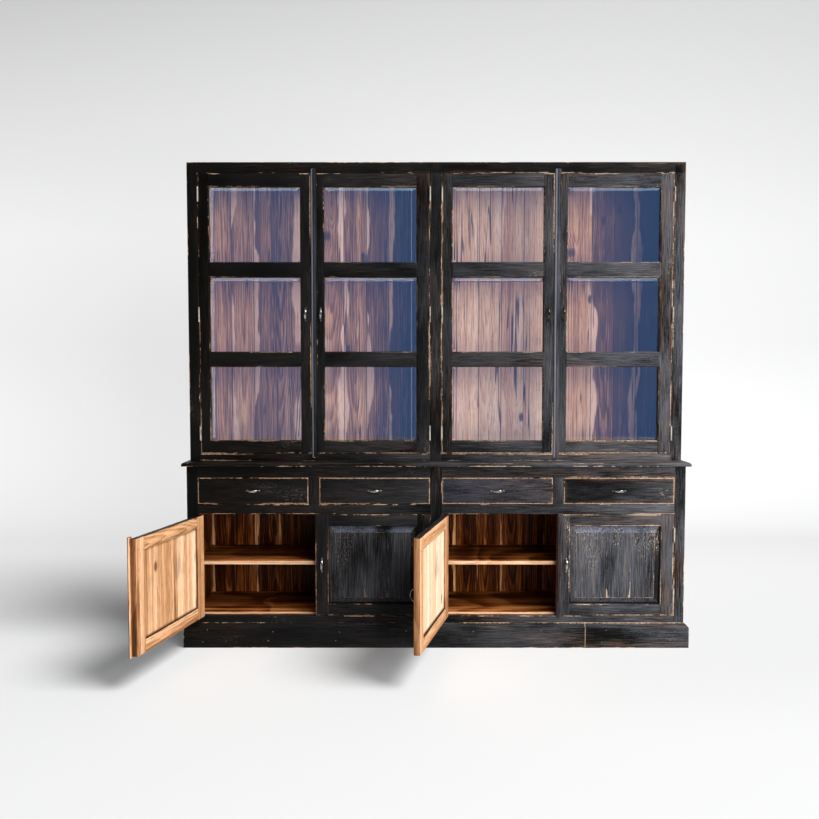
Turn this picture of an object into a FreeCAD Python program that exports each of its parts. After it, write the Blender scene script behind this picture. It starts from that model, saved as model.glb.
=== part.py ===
"""A two-part buffet cabinet in painted reclaimed teak, as a parametric document in millimetres.

A base of four drawers over two pairs of panelled doors carries a counter and a shallower hutch
with two pairs of glazed doors. The front faces -Y and the origin lies on the floor, in the
middle of the width and of the body's depth. Lower doors 1 and 3 are stored standing open.
"""
import FreeCAD, Part
import os
import re

import Sketcher

SIZES = {
    # Outside of the cabinet
    "body_width": 2350,
    "body_depth": 400,
    "hutch_setback": 68,
    # Heights from the floor to the top, one above the other
    "plinth_height": 116,
    "bottom_reveal": 32,
    "lower_opening": 487,
    "middle_rail": 46,
    "drawer_opening": 128,
    "base_top_rail": 53,
    "counter_thickness": 18,
    "hutch_bottom_rail": 33,
    "upper_opening": 1327,
    "hutch_top_rail": 50,
    # Boards of the carcass
    "side_thickness": 20,
    "shelf_thickness": 18,
    "plank_thickness": 18,
    "plank_width": 115,
    "plank_gap": 0.5,
    "plank_foot": 60,
    "floor_lip": 9,
    "shelf_height": 229,
    "shelf_rise": 12,
    "shelf_setback": 5,
    "cleat": 22,
    # Face frames
    "frame_thickness": 27,
    "outer_stile": 50,
    "centre_stile": 54,
    "drawer_divider": 48,
    "bottom_rail_cover": 56,
    # Plinth and counter
    "plinth_thickness": 20,
    "plinth_land": 2,
    "counter_overhang": 20,
    "counter_round": 12,
    # Drawers
    "drawer_gap": 2.5,
    "drawer_side": 12,
    "drawer_bottom": 6,
    "drawer_bottom_rise": 10,
    "drawer_headroom": 4,
    "drawer_back_gap": 15,
    "runner_gap": 0.3,
    "runner_thickness": 20,
    "runner_lip": 20,
    "guide_height": 20,
    # Gaps round the doors
    "hinge_gap": 2.6,
    "door_gap": 2.5,
    "door_stand": 0.4,
    # Lower doors
    "lower_meeting_shift": 5,
    "lower_stile": 60,
    "lower_rail": 54,
    "panel_bevel": 31,
    "panel_field_depth": 2,
    "panel_tongue_depth": 11,
    "panel_tongue": 8,
    "panel_groove": 9,
    "panel_play": 0.4,
    "first_door_degrees": 104,
    "third_door_degrees": 105,
    # Upper doors
    "upper_meeting_shift": 16,
    "left_hand_stile": 50,
    "right_hand_stile": 62,
    "upper_rail": 62,
    "muntin": 73,
    "sight_chamfer": 5,
    "glass_lip": 12,
    "glass_rebate": 8,
    "glass_thickness": 5,
    "glass_bevel": 24,
    "glass_bevel_depth": 2,
    "glass_play": 0.3,
    "bead_slope": 4,
    # Half-round strips at the meeting edges
    "strip_width": 28,
    "strip_thickness": 10,
    "strip_lap": 14,
    "strip_relief": 0.4,
    "lower_strip_overrun": 7,
    "upper_strip_overrun": 20,
    # Lift-off hinges
    "hinge_length": 70,
    "hinge_inset": 62,
    "hinge_leaf": 22,
    "knuckle_radius": 4,
    "knuckle_clearance": 0.7,
    "knuckle_wall": 2.75,
    "pin_clearance": 0.05,
    "pin_cap": 2,
    "knuckle_play": 0.3,
    "leaf_play": 0.2,
    "leaf_bite": 1,
    # Bow pulls
    "pull_length": 68,
    "pull_rise": 24,
    "pull_bar": 3,
    "pull_width": 9,
    "pull_pad": 12,
    "pull_pad_thickness": 2.5,
    # How far a cutting shape runs past what it cuts
    "overrun": 2,
}

BOTH_SIDES = (-1, 1)
PANE_COUNT = 3
QUARTER_TURN = 90
# Flats on the shapes that are too small to need a true round
KNUCKLE_SIDES = 12
BOW_SIDES = 24

doc = FreeCAD.newDocument("buffet_cabinet")
sheet = doc.addObject("Spreadsheet::Sheet", "Sizes")
for row, (alias, value) in enumerate(SIZES.items(), start=1):
    sheet.set(f"A{row}", alias)
    sheet.set(f"B{row}", str(value))
    sheet.setAlias(f"B{row}", alias)
doc.recompute()

nodes = []


def bound(text):
    """An expression written with the sheet's words, as the document reads it."""
    def named(word):
        return f"Sizes.{word[0]}" if word[0] in SIZES else word[0]
    return re.sub(r"[a-z]\w*", named, str(text))


def bind(thing, expressions):
    """Tie each named property of an object to an expression."""
    for name, text in expressions.items():
        thing.setExpression(name, bound(text))


def measure(text):
    """The length that an expression stands for now."""
    return float(sheet.evalExpression(bound(text)))


def difference(span):
    """The length of a span."""
    low, high = span
    return f"({high}) - ({low})"


def mirrored(side, near, far):
    """The span between two distances from the middle, on the right (1) or on the left (-1)."""
    if side > 0:
        return (f"({near})", f"({far})")
    return (f"(-({far}))", f"(-({near}))")


def stand(thing, x, y, z):
    """Put an object's origin at (x, y, z)."""
    bind(thing, {"Placement.Base.x": x, "Placement.Base.y": y, "Placement.Base.z": z})
    return thing


def board(name, x, y, z):
    """A squared board that fills three spans."""
    box = doc.addObject("Part::Box", name)
    bind(box, {"Length": difference(x), "Width": difference(y), "Height": difference(z)})
    return stand(box, x[0], y[0], z[0])


def frustum(name, y, front_x, front_z, rear_x, rear_z):
    """A block whose upright rectangle at the front of a span changes to another at its rear."""
    wedge = doc.addObject("Part::Wedge", name)
    bind(wedge, {"Ymin": y[0], "Ymax": y[1]})
    bind(wedge, {"Xmin": front_x[0], "Xmax": front_x[1], "Zmin": front_z[0], "Zmax": front_z[1]})
    bind(wedge, {"X2min": rear_x[0], "X2max": rear_x[1], "Z2min": rear_z[0], "Z2max": rear_z[1]})
    return wedge


def rod(name, radius, x, y, z):
    """An upright round rod through (x, y) that fills the span z."""
    cylinder = doc.addObject("Part::Cylinder", name)
    bind(cylinder, {"Radius": radius, "Height": difference(z)})
    return stand(cylinder, x, y, z[0])


def faceted_rod(name, sides, radius, length):
    """A rod with flat sides, whose corners lie on the radius, standing at the origin."""
    bar = doc.addObject("Part::Prism", name)
    bar.Polygon = sides
    bind(bar, {"Circumradius": radius, "Height": length})
    return bar


def knuckle(name, door, z):
    """The part of a hinge's barrel that fills the span z."""
    bar = faceted_rod(name, KNUCKLE_SIDES, "knuckle_radius", difference(z))
    return stand(bar, door.pin_x, door.pin_y, z[0])


def cut(base, tool):
    """One shape less another."""
    result = doc.addObject("Part::Cut", f"{base.Name}_cut")
    result.Base = base
    result.Tool = tool
    return result


def common(base, tool):
    """What two shapes share."""
    result = doc.addObject("Part::Common", f"{base.Name}_common")
    result.Base = base
    result.Tool = tool
    return result


def fused(name, shapes):
    """Several shapes as one solid."""
    result = doc.addObject("Part::MultiFuse", name)
    result.Shapes = shapes
    result.Refine = True
    return result


def together(name, pieces):
    """Separate pieces as one object."""
    group = doc.addObject("Part::Compound", name)
    group.Links = pieces
    return group


def node(label, pieces):
    """A sub-part: pieces that stay separate solids under one label."""
    group = together(label, pieces)
    group.Label = label
    nodes.append(group)
    return group


def grown(span, amount):
    """A span made longer by the same amount at both ends."""
    low, high = span
    return (f"({low}) - ({amount})", f"({high}) + ({amount})")


def prism(name, corners, height):
    """An upright body padded from a plan whose corners are pairs of expressions."""
    body = doc.addObject("PartDesign::Body", name)
    plan = body.newObject("Sketcher::SketchObject", f"{name}_plan")
    floor = next(plane for plane in body.Origin.OriginFeatures if plane.Role == "XY_Plane")
    plan.AttachmentSupport = [(floor, "")]
    plan.MapMode = "FlatFace"
    points = [FreeCAD.Vector(measure(x), measure(y), 0) for x, y in corners]
    for index, point in enumerate(points):
        following = points[(index + 1) % len(points)]
        plan.addGeometry(Part.LineSegment(point, following))
    for index, (x, y) in enumerate(corners):
        plan.addConstraint(Sketcher.Constraint("Coincident", index, 2, (index + 1) % len(corners), 1))
        for axis, text in (("X", x), ("Y", y)):
            datum = Sketcher.Constraint(f"Distance{axis}", -1, 1, index, 1, measure(text))
            number = plan.addConstraint(datum)
            plan.setExpression(f"Constraints[{number}]", bound(text))
    pad = body.newObject("PartDesign::Pad", f"{name}_pad")
    pad.Profile = plan
    pad.setExpression("Length", bound(height))
    doc.recompute()
    return body, pad


# Planes that many pieces share, from the front to the back
front = "(-body_depth / 2)"
back = "(body_depth / 2)"
base_inside = f"({front} + frame_thickness)"
hutch_front = f"({front} + hutch_setback)"
hutch_inside = f"({hutch_front} + frame_thickness)"
back_inside = f"({back} - plank_thickness)"
# From the middle outwards
partition_face = "(side_thickness / 2)"
opening_near = "(centre_stile / 2)"
half_width = "(body_width / 2)"
side_inside = f"({half_width} - side_thickness)"
between_sides = (f"(-{side_inside})", side_inside)
opening_far = f"({half_width} - outer_stile)"
opening_middle = f"(({opening_near} + {opening_far}) / 2)"
divider_near = f"({opening_middle} - drawer_divider / 2)"
divider_far = f"({opening_middle} + drawer_divider / 2)"
# From the floor upwards
ground = "0"
sill = "(plinth_height + bottom_reveal)"
floor_top = f"({sill} + floor_lip)"
floor_under = f"({floor_top} - shelf_thickness)"
lintel = f"({sill} + lower_opening)"
drawer_floor = f"({lintel} + middle_rail)"
drawer_roof = f"({drawer_floor} + drawer_opening)"
base_top = f"({drawer_roof} + base_top_rail)"
counter_top = f"({base_top} + counter_thickness)"
hutch_sill = f"({counter_top} + hutch_bottom_rail)"
hutch_floor_top = f"({hutch_sill} + floor_lip)"
hutch_lintel = f"({hutch_sill} + upper_opening)"
cabinet_top = f"({hutch_lintel} + hutch_top_rail)"
roof_under = f"({cabinet_top} - shelf_thickness)"
# Lower ends, upper ends and panes of the upper doors
upper_foot = f"({hutch_sill} + door_gap)"
upper_head = f"({hutch_lintel} - door_gap)"
panes_and_muntins = f"({upper_head} - {upper_foot} - 2 * upper_rail)"
pane_height = f"(({panes_and_muntins} - {PANE_COUNT - 1} * muntin) / {PANE_COUNT})"
pane_spans = []
for level in range(PANE_COUNT):
    pane_foot = f"({upper_foot} + upper_rail + {level} * ({pane_height} + muntin))"
    pane_spans.append((pane_foot, f"({pane_foot} + {pane_height})"))


def make_plinth():
    """Mitred skirting boards with a bevelled top edge, and the bearers under the floor."""
    right = half_width
    left = f"-{half_width}"
    outer_right = f"({half_width} + plinth_thickness)"
    outer_left = f"-{outer_right}"
    outer_front = f"({front} - plinth_thickness)"
    plans = {
        "front_skirting": [
            (outer_left, outer_front), (outer_right, outer_front), (right, front), (left, front)],
        "right_skirting": [
            (outer_right, outer_front), (outer_right, back), (right, back), (right, front)],
        "left_skirting": [
            (left, front), (left, back), (outer_left, back), (outer_left, outer_front)],
    }
    pieces = []
    for name, corners in plans.items():
        body, pad = prism(name, corners, "plinth_height")
        lengths = {}
        for number, edge in enumerate(pad.Shape.Edges, start=1):
            if all(vertex.Z > measure("plinth_height / 2") for vertex in edge.Vertexes):
                lengths[f"Edge{number}"] = edge.Length
        outer_top_edge = max(lengths, key=lengths.get)
        bevel = body.newObject("PartDesign::Chamfer", f"{name}_bevel")
        bevel.Base = (pad, [outer_top_edge])
        bevel.setExpression("Size", bound("plinth_thickness - plinth_land"))
        pieces.append(body)
    for place in (f"-{side_inside} / 2", "0", f"{side_inside} / 2"):
        x = (f"{place} - {partition_face}", f"{place} + {partition_face}")
        pieces.append(board("bearer", x, (base_inside, back_inside), (ground, floor_under)))
    node("plinth", pieces)


def make_carcass(name, inside, floor_span, side_foot, side_head, partition_head):
    """Two sides, a centre partition and a floor board."""
    pieces = []
    for side in BOTH_SIDES:
        x = mirrored(side, side_inside, half_width)
        pieces.append(board(f"{name}_side", x, (inside, back), (side_foot, side_head)))
    middle = (f"-{partition_face}", partition_face)
    z = (floor_span[1], partition_head)
    pieces.append(board(f"{name}_partition", middle, (inside, back_inside), z))
    y = (f"{inside} + shelf_setback", back_inside)
    pieces.append(board(f"{name}_floor", between_sides, y, floor_span))
    return pieces


def make_face_frame(name, plane, inside, foot, head, rail_spans):
    """Three stiles with rails between them."""
    pieces = []
    stiles = [mirrored(side, opening_far, half_width) for side in BOTH_SIDES]
    stiles.append((f"-{opening_near}", opening_near))
    for x in stiles:
        pieces.append(board(f"{name}_stile", x, (plane, inside), (foot, head)))
    for side in BOTH_SIDES:
        for z in rail_spans:
            x = mirrored(side, opening_near, opening_far)
            pieces.append(board(f"{name}_rail", x, (plane, inside), z))
    return pieces


def make_shelves(name, inside, undersides):
    """Shelves in both bays, each on a cleat at either end."""
    pieces = []
    shelf_front = f"({inside} + shelf_setback)"
    cleat_depth = (f"{shelf_front} + cleat", back_inside)
    cleat_spans = [(partition_face, f"{partition_face} + cleat"), (f"{side_inside} - cleat", side_inside)]
    for side in BOTH_SIDES:
        for underside in undersides:
            x = mirrored(side, partition_face, side_inside)
            z = (underside, f"{underside} + shelf_thickness")
            pieces.append(board(f"{name}_shelf", x, (shelf_front, back_inside), z))
            below = (f"{underside} - cleat", underside)
            for near, far in cleat_spans:
                pieces.append(board(f"{name}_cleat", mirrored(side, near, far), cleat_depth, below))
    node(f"{name}_shelves", pieces)


def make_back_planks(name, foot, head):
    """Upright planks of one width that fill the back between the sides."""
    count = round(2 * measure(side_inside) / SIZES["plank_width"])
    pitch = f"(2 * {side_inside} / {count})"
    pieces = []
    for index in range(count):
        space = (f"{index} * {pitch} - {side_inside}", f"{index + 1} * {pitch} - {side_inside}")
        x = grown(space, "-plank_gap / 2")
        pieces.append(board(f"{name}_plank", x, (back_inside, back), (foot, head)))
    node(f"{name}_back_planks", pieces)


def make_drawer_runners():
    """Under each drawer side a runner with a guide on it, and a kicker above."""
    pieces = []
    y = (base_inside, back_inside)
    rails = [
        ((partition_face, f"{opening_near} + runner_lip"), (partition_face, opening_near)),
        ((f"{divider_near} - runner_lip", f"{divider_far} + runner_lip"), (divider_near, divider_far)),
        ((f"{opening_far} - runner_lip", side_inside), (opening_far, side_inside)),
    ]
    below = (f"{drawer_floor} - runner_thickness", drawer_floor)
    beside = (drawer_floor, f"{drawer_floor} + guide_height")
    above = (drawer_roof, f"{drawer_roof} + runner_thickness")
    for side in BOTH_SIDES:
        for runner, guide in rails:
            pieces.append(board("runner", mirrored(side, *runner), y, below))
            pieces.append(board("guide", mirrored(side, *guide), y, beside))
            pieces.append(board("kicker", mirrored(side, *runner), y, above))
    node("drawer_runners", pieces)


def make_counter():
    """One board whose top edge is rounded at the front and at both ends."""
    body = doc.addObject("PartDesign::Body", "counter")
    slab = body.newObject("PartDesign::AdditiveBox", "counter_board")
    width = "(body_width + 2 * counter_overhang)"
    depth = "(body_depth + counter_overhang)"
    bind(slab, {"Length": width, "Width": depth, "Height": "counter_thickness"})
    stand(body, f"-{width} / 2", f"{front} - counter_overhang", base_top)
    doc.recompute()
    rear = measure("body_depth")
    edges = []
    for number, edge in enumerate(slab.Shape.Edges, start=1):
        middle = edge.CenterOfMass
        if middle.z > measure("counter_thickness / 2") and middle.y < rear:
            if all(vertex.Z > measure("counter_thickness / 2") for vertex in edge.Vertexes):
                edges.append(f"Edge{number}")
    rounding = body.newObject("PartDesign::Fillet", "counter_rounding")
    rounding.Base = (slab, edges)
    rounding.setExpression("Radius", bound("counter_round"))
    body.Label = "counter"
    nodes.append(body)


def make_drum(name, radius, width, x, y, z, upright):
    """A disc that stands across an upright pull, or lies across a level one."""
    disc = faceted_rod(name, BOW_SIDES, radius, width)
    if not upright:
        return stand(disc, x, y, f"{z} - ({width}) / 2")
    across = FreeCAD.Rotation(FreeCAD.Vector(0, 1, 0), QUARTER_TURN)
    disc.Placement = FreeCAD.Placement(FreeCAD.Vector(), across)
    return stand(disc, f"{x} - ({width}) / 2", y, z)


def make_pull(name, x, face, z, upright):
    """A flat bar bent to a bow, with a pad at each end, standing on a face that looks to the front."""
    pad_middle = "(pull_length / 2 - pull_pad / 2)"
    half_chord = f"({pad_middle} + pull_bar / 2)"
    radius = f"(({half_chord} * {half_chord} + pull_rise * pull_rise) / (2 * pull_rise))"
    middle_y = f"({face} - pull_rise + {radius})"
    inner_radius = f"{radius} - pull_bar"
    inner_width = "pull_width + overrun"
    outer = make_drum(f"{name}_outer", radius, "pull_width", x, middle_y, z, upright)
    inner = make_drum(f"{name}_inner", inner_radius, inner_width, x, middle_y, z, upright)
    across = (f"{x} - pull_width / 2", f"{x} + pull_width / 2")
    level = (f"{z} - pull_width / 2", f"{z} + pull_width / 2")
    clear = (f"{face} - pull_rise - overrun", face)
    if upright:
        ahead = board(f"{name}_ahead", across, clear, (f"{z} - pull_length", f"{z} + pull_length"))
    else:
        ahead = board(f"{name}_ahead", (f"{x} - pull_length", f"{x} + pull_length"), clear, level)
    shapes = [common(cut(outer, inner), ahead)]
    for side in BOTH_SIDES:
        near = mirrored(side, f"{pad_middle} - pull_pad / 2", f"{pad_middle} + pull_pad / 2")
        y = (f"{face} - pull_pad_thickness", face)
        if upright:
            pad = board(f"{name}_pad", across, y, (f"{z} + {near[0]}", f"{z} + {near[1]}"))
        else:
            pad = board(f"{name}_pad", (f"{x} + {near[0]}", f"{x} + {near[1]}"), y, level)
        shapes.append(pad)
    return fused(name, shapes)


def make_drawer(name, opening):
    """A flush front with a box behind it and a level bow pull."""
    low, high = grown(opening, "-drawer_gap")
    front_z = grown((drawer_floor, drawer_roof), "-drawer_gap")
    node(f"{name}_front", [board(f"{name}_board", (low, high), (front, base_inside), front_z)])
    bottom = f"({drawer_floor} + runner_gap)"
    top = f"({drawer_roof} - drawer_headroom)"
    panel = f"({bottom} + drawer_bottom_rise)"
    rear = f"({back_inside} - drawer_back_gap)"
    within = grown((low, high), "-drawer_side")
    panel_top = f"({panel} + drawer_bottom)"
    node(f"{name}_box", [
        board(f"{name}_left_side", (low, within[0]), (base_inside, rear), (bottom, top)),
        board(f"{name}_right_side", (within[1], high), (base_inside, rear), (bottom, top)),
        board(f"{name}_bottom", within, (base_inside, rear), (panel, panel_top)),
        board(f"{name}_back", within, (f"{rear} - drawer_side", rear), (panel_top, top)),
    ])
    middle_x = f"(({opening[0]} + {opening[1]}) / 2)"
    middle_z = f"(({drawer_floor} + {drawer_roof}) / 2)"
    node(f"{name}_pull", [make_pull(f"{name}_bow", middle_x, front, middle_z, upright=False)])


class Door:
    """Where one door hangs: distances run from the edge of its opening towards its free edge."""

    def __init__(self, name, hinge_x, swing, width, stile, plane, ends, stands_open="0"):
        self.name = name
        self.hinge_x = hinge_x
        self.swing = swing
        self.stile = stile
        self.plane = plane
        self.foot, self.head = ends
        self.face = f"({plane} - door_stand)"
        self.rear = f"({self.face} + frame_thickness)"
        self.free_edge = f"(hinge_gap + {width})"
        self.sight_near = f"(hinge_gap + {stile})"
        self.sight_far = f"({self.free_edge} - {stile})"
        self.pin_x = self.across("hinge_gap / 2", "hinge_gap / 2")[0]
        self.pin_y = f"({plane} - knuckle_radius - knuckle_clearance)"
        self.turn = f"(-({swing}) * {stands_open})"

    def across(self, near, far):
        """The span in X between two distances from the hinged edge of the opening."""
        if self.swing > 0:
            return (f"({self.hinge_x} + ({near}))", f"({self.hinge_x} + ({far}))")
        return (f"({self.hinge_x} - ({far}))", f"({self.hinge_x} - ({near}))")

    def node(self, part, pieces):
        """A sub-part of the door, turned about the pin to where the door stands."""
        group = node(f"{self.name}_{part}", pieces)
        cosine = f"cos({self.turn})"
        sine = f"sin({self.turn})"
        bind(group, {
            "Placement.Rotation.Angle": self.turn,
            "Placement.Base.x": f"{self.pin_x} - {self.pin_x} * {cosine} + {self.pin_y} * {sine}",
            "Placement.Base.y": f"{self.pin_y} - {self.pin_x} * {sine} - {self.pin_y} * {cosine}",
        })


def make_stiles_and_rails(door, rail_spans):
    """The boards of a door's frame, with rails between two full-height stiles."""
    y = (door.face, door.rear)
    pieces = []
    for near, far in (("hinge_gap", door.sight_near), (door.sight_far, door.free_edge)):
        pieces.append(board(f"{door.name}_stile", door.across(near, far), y, (door.foot, door.head)))
    for z in rail_spans:
        pieces.append(board(f"{door.name}_rail", door.across(door.sight_near, door.sight_far), y, z))
    return pieces


def make_hinge(door, foot):
    """A lift-off hinge: the frame leaf with its pin, and the door leaf that turns on the pin."""
    head = f"({foot} + hinge_length)"
    middle = f"({foot} + hinge_length / 2)"
    frame_end = f"({middle} - knuckle_play / 2)"
    door_end = f"({middle} + knuckle_play / 2)"
    leaf = "((hinge_gap - leaf_play) / 2)"
    bore_radius = "(knuckle_radius - knuckle_wall)"
    pin_radius = f"({bore_radius} - pin_clearance)"
    pin_z = (f"{middle} - leaf_bite", f"{head} - pin_cap - knuckle_play")
    bore_z = (f"{door_end} - overrun", f"{head} - pin_cap")
    rear = f"{door.plane} + hinge_leaf"
    joined = (f"{door.pin_y} + knuckle_radius - leaf_bite", rear)
    clear = (f"{door.pin_y} + knuckle_radius + knuckle_play", rear)
    frame_x = door.across("0", leaf)
    frame_leaf = fused(f"{door.name}_frame_leaf", [
        knuckle("frame_knuckle", door, (foot, frame_end)),
        rod("pin", pin_radius, door.pin_x, door.pin_y, pin_z),
        board("frame_plate", frame_x, joined, (foot, frame_end)),
        board("frame_plate", frame_x, clear, (frame_end, head)),
    ])
    door_x = door.across(f"hinge_gap - {leaf}", "hinge_gap")
    bore = rod("bore", bore_radius, door.pin_x, door.pin_y, bore_z)
    door_leaf = fused(f"{door.name}_door_leaf", [
        cut(knuckle("door_knuckle", door, (door_end, head)), bore),
        board("door_plate", door_x, joined, (door_end, head)),
        board("door_plate", door_x, clear, (foot, door_end)),
    ])
    return frame_leaf, door_leaf


def hang(door, extra_hinges=()):
    """The door leaves of a door's hinges; the frame leaves stay with the cabinet."""
    lowest = f"({door.foot} + hinge_inset)"
    highest = f"({door.head} - hinge_inset - hinge_length)"
    hinges = [make_hinge(door, foot) for foot in (lowest, *extra_hinges, highest)]
    frame_leaves.extend(frame_leaf for frame_leaf, door_leaf in hinges)
    door.node("hinge_leaves", [door_leaf for frame_leaf, door_leaf in hinges])


def make_door_pull(door, covered):
    """An upright pull at mid height, in the middle of the part of the stile that nothing covers."""
    middle = f"(({door.sight_far} + {door.free_edge} - ({covered})) / 2)"
    x = door.across(middle, middle)[0]
    z = f"(({door.foot} + {door.head}) / 2)"
    door.node("pull", [make_pull(f"{door.name}_bow", x, door.face, z, upright=True)])


def make_meeting_strip(door, lap, end_reach):
    """A half-round strip on the free stile, past its edge by the lap and past its ends by the reach."""
    far = f"({door.free_edge} + {lap})"
    x = door.across(f"{far} - strip_width", far)
    y = (f"{door.face} - strip_thickness", door.face)
    z = grown((door.foot, door.head), end_reach)
    half_chord = "(strip_width / 2)"
    radius = f"(({half_chord} * {half_chord} / strip_thickness + strip_thickness) / 2)"
    middle_x = f"(({x[0]} + {x[1]}) / 2)"
    middle_y = f"({y[0]} + {radius})"
    round_bar = rod(f"{door.name}_round", radius, middle_x, middle_y, z)
    strip = common(round_bar, board(f"{door.name}_half", x, y, z))
    if lap != "0":
        relief_y = (f"{door.face} - strip_relief", f"{door.face} + overrun")
        relief_x = door.across(door.free_edge, f"{far} + overrun")
        strip = cut(strip, board(f"{door.name}_relief", relief_x, relief_y, grown(z, "overrun")))
    door.node("meeting_strip", [strip])


def make_lower_door(door):
    """A grooved frame round a raised and fielded panel."""
    sight_x = door.across(door.sight_near, door.sight_far)
    sight_z = (f"({door.foot} + lower_rail)", f"({door.head} - lower_rail)")
    tongue_front = f"({door.face} + panel_tongue_depth)"
    tongue_rear = f"({tongue_front} + panel_tongue)"
    groove_x = grown(sight_x, "panel_groove")
    groove_y = (tongue_front, f"{tongue_rear} + panel_play")
    groove_z = grown(sight_z, "panel_groove")
    groove = board(f"{door.name}_groove", groove_x, groove_y, groove_z)
    rails = [(door.foot, sight_z[0]), (sight_z[1], door.head)]
    door.node("frame", [cut(piece, groove) for piece in make_stiles_and_rails(door, rails)])
    tongue_x = grown(groove_x, "-panel_play")
    tongue_z = grown(groove_z, "-panel_play")
    tongue = board(f"{door.name}_tongue", tongue_x, (tongue_front, tongue_rear), tongue_z)
    field = frustum(
        f"{door.name}_field", (f"{door.face} + panel_field_depth", tongue_front),
        grown(sight_x, "-panel_bevel"), grown(sight_z, "-panel_bevel"),
        grown(sight_x, "-panel_play"), grown(sight_z, "-panel_play"))
    door.node("panel", [fused(f"{door.name}_fielded_panel", [tongue, field])])


def make_beads(name, seat_x, seat_z, sight_x, sight_z, y):
    """Four strips that hold a pane in its seat, sloping away from the glass towards the back."""
    hole = frustum(
        f"{name}_bead_hole", y, sight_x, sight_z,
        grown(sight_x, "bead_slope"), grown(sight_z, "bead_slope"))
    ring = cut(board(f"{name}_bead_ring", seat_x, y, seat_z), hole)
    strips = [
        (seat_x, (seat_z[0], sight_z[0])),
        (seat_x, (sight_z[1], seat_z[1])),
        ((seat_x[0], sight_x[0]), sight_z),
        ((sight_x[1], seat_x[1]), sight_z),
    ]
    return [common(ring, board(f"{name}_bead", x, y, z)) for x, z in strips]


def make_upper_door(door):
    """A frame with two muntins, and three bevelled panes held by beads at the back."""
    sight_x = door.across(door.sight_near, door.sight_far)
    rails = [(door.foot, pane_spans[0][0])]
    rails += [(below[1], above[0]) for below, above in zip(pane_spans, pane_spans[1:])]
    rails += [(pane_spans[-1][1], door.head)]
    glass_front = f"({door.face} + glass_lip + glass_play)"
    glass_rear = f"({glass_front} + glass_thickness)"
    bevel_rear = f"({glass_front} + glass_bevel_depth)"
    bead_y = (f"({glass_rear} + glass_play)", door.rear)
    seat_x = grown(sight_x, "glass_rebate")
    cutters = []
    beads = []
    panes = []
    for sight_z in pane_spans:
        seat_z = grown(sight_z, "glass_rebate")
        seat_y = (f"{door.face} + glass_lip", f"{door.rear} + overrun")
        cutters.append(board(f"{door.name}_seat", seat_x, seat_y, seat_z))
        cutters.append(frustum(
            f"{door.name}_chamfer", (f"{door.face} - overrun", f"{door.face} + sight_chamfer"),
            grown(sight_x, "sight_chamfer + overrun"), grown(sight_z, "sight_chamfer + overrun"),
            sight_x, sight_z))
        beads += make_beads(door.name, seat_x, seat_z, sight_x, sight_z, bead_y)
        pane_x = grown(seat_x, "-glass_play")
        pane_z = grown(seat_z, "-glass_play")
        slab = board(f"{door.name}_slab", pane_x, (bevel_rear, glass_rear), pane_z)
        bevel = frustum(
            f"{door.name}_bevel", (glass_front, bevel_rear),
            grown(pane_x, "-glass_bevel"), grown(pane_z, "-glass_bevel"), pane_x, pane_z)
        panes.append(fused(f"{door.name}_pane", [slab, bevel]))
    seats = together(f"{door.name}_seats", cutters)
    door.node("frame", [cut(piece, seats) for piece in make_stiles_and_rails(door, rails)] + beads)
    door.node("glass", panes)


# Base, from the floor up to the counter
make_plinth()
base_floor = (floor_under, floor_top)
node("base_carcass", make_carcass("base", base_inside, base_floor, ground, base_top, base_top))
bottom_rail = (f"{sill} - bottom_reveal - bottom_rail_cover", sill)
base_rails = [bottom_rail, (lintel, drawer_floor), (drawer_roof, base_top)]
base_frame = make_face_frame("base", front, base_inside, ground, base_top, base_rails)
divider_z = (drawer_floor, drawer_roof)
for side in BOTH_SIDES:
    divider_x = mirrored(side, divider_near, divider_far)
    base_frame.append(board("drawer_divider", divider_x, (front, base_inside), divider_z))
node("base_face_frame", base_frame)
make_shelves("base", base_inside, [f"({floor_top} + shelf_height)"])
make_drawer_runners()
make_back_planks("base", "plank_foot", base_top)
make_counter()

# Hutch, standing on the counter
hutch_floor = (f"{hutch_floor_top} - shelf_thickness", hutch_floor_top)
hutch_boards = make_carcass("hutch", hutch_inside, hutch_floor, counter_top, cabinet_top, roof_under)
roof_depth = (hutch_inside, back_inside)
hutch_boards.append(board("hutch_roof", between_sides, roof_depth, (roof_under, cabinet_top)))
node("hutch_carcass", hutch_boards)
hutch_rails = [(counter_top, hutch_sill), (hutch_lintel, cabinet_top)]
hutch_frame = make_face_frame("hutch", hutch_front, hutch_inside, counter_top, cabinet_top, hutch_rails)
node("hutch_face_frame", hutch_frame)
make_shelves("hutch", hutch_inside, [f"({span[1]} + shelf_rise)" for span in pane_spans[:-1]])
make_back_planks("hutch", counter_top, cabinet_top)

# Drawers, from left to right
openings = [
    mirrored(-1, divider_far, opening_far),
    mirrored(-1, opening_near, divider_near),
    mirrored(1, opening_near, divider_near),
    mirrored(1, divider_far, opening_far),
]
for number, opening in enumerate(openings, start=1):
    make_drawer(f"drawer_{number}", opening)

# Doors, from left to right: which edge they hang on, and which way they reach from it
hangings = [(f"(-{opening_far})", 1), (f"(-{opening_near})", -1), (opening_near, 1), (opening_far, -1)]
pair_half = f"(({opening_far} - {opening_near}) / 2 - hinge_gap - door_gap / 2)"
frame_leaves = []

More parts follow.
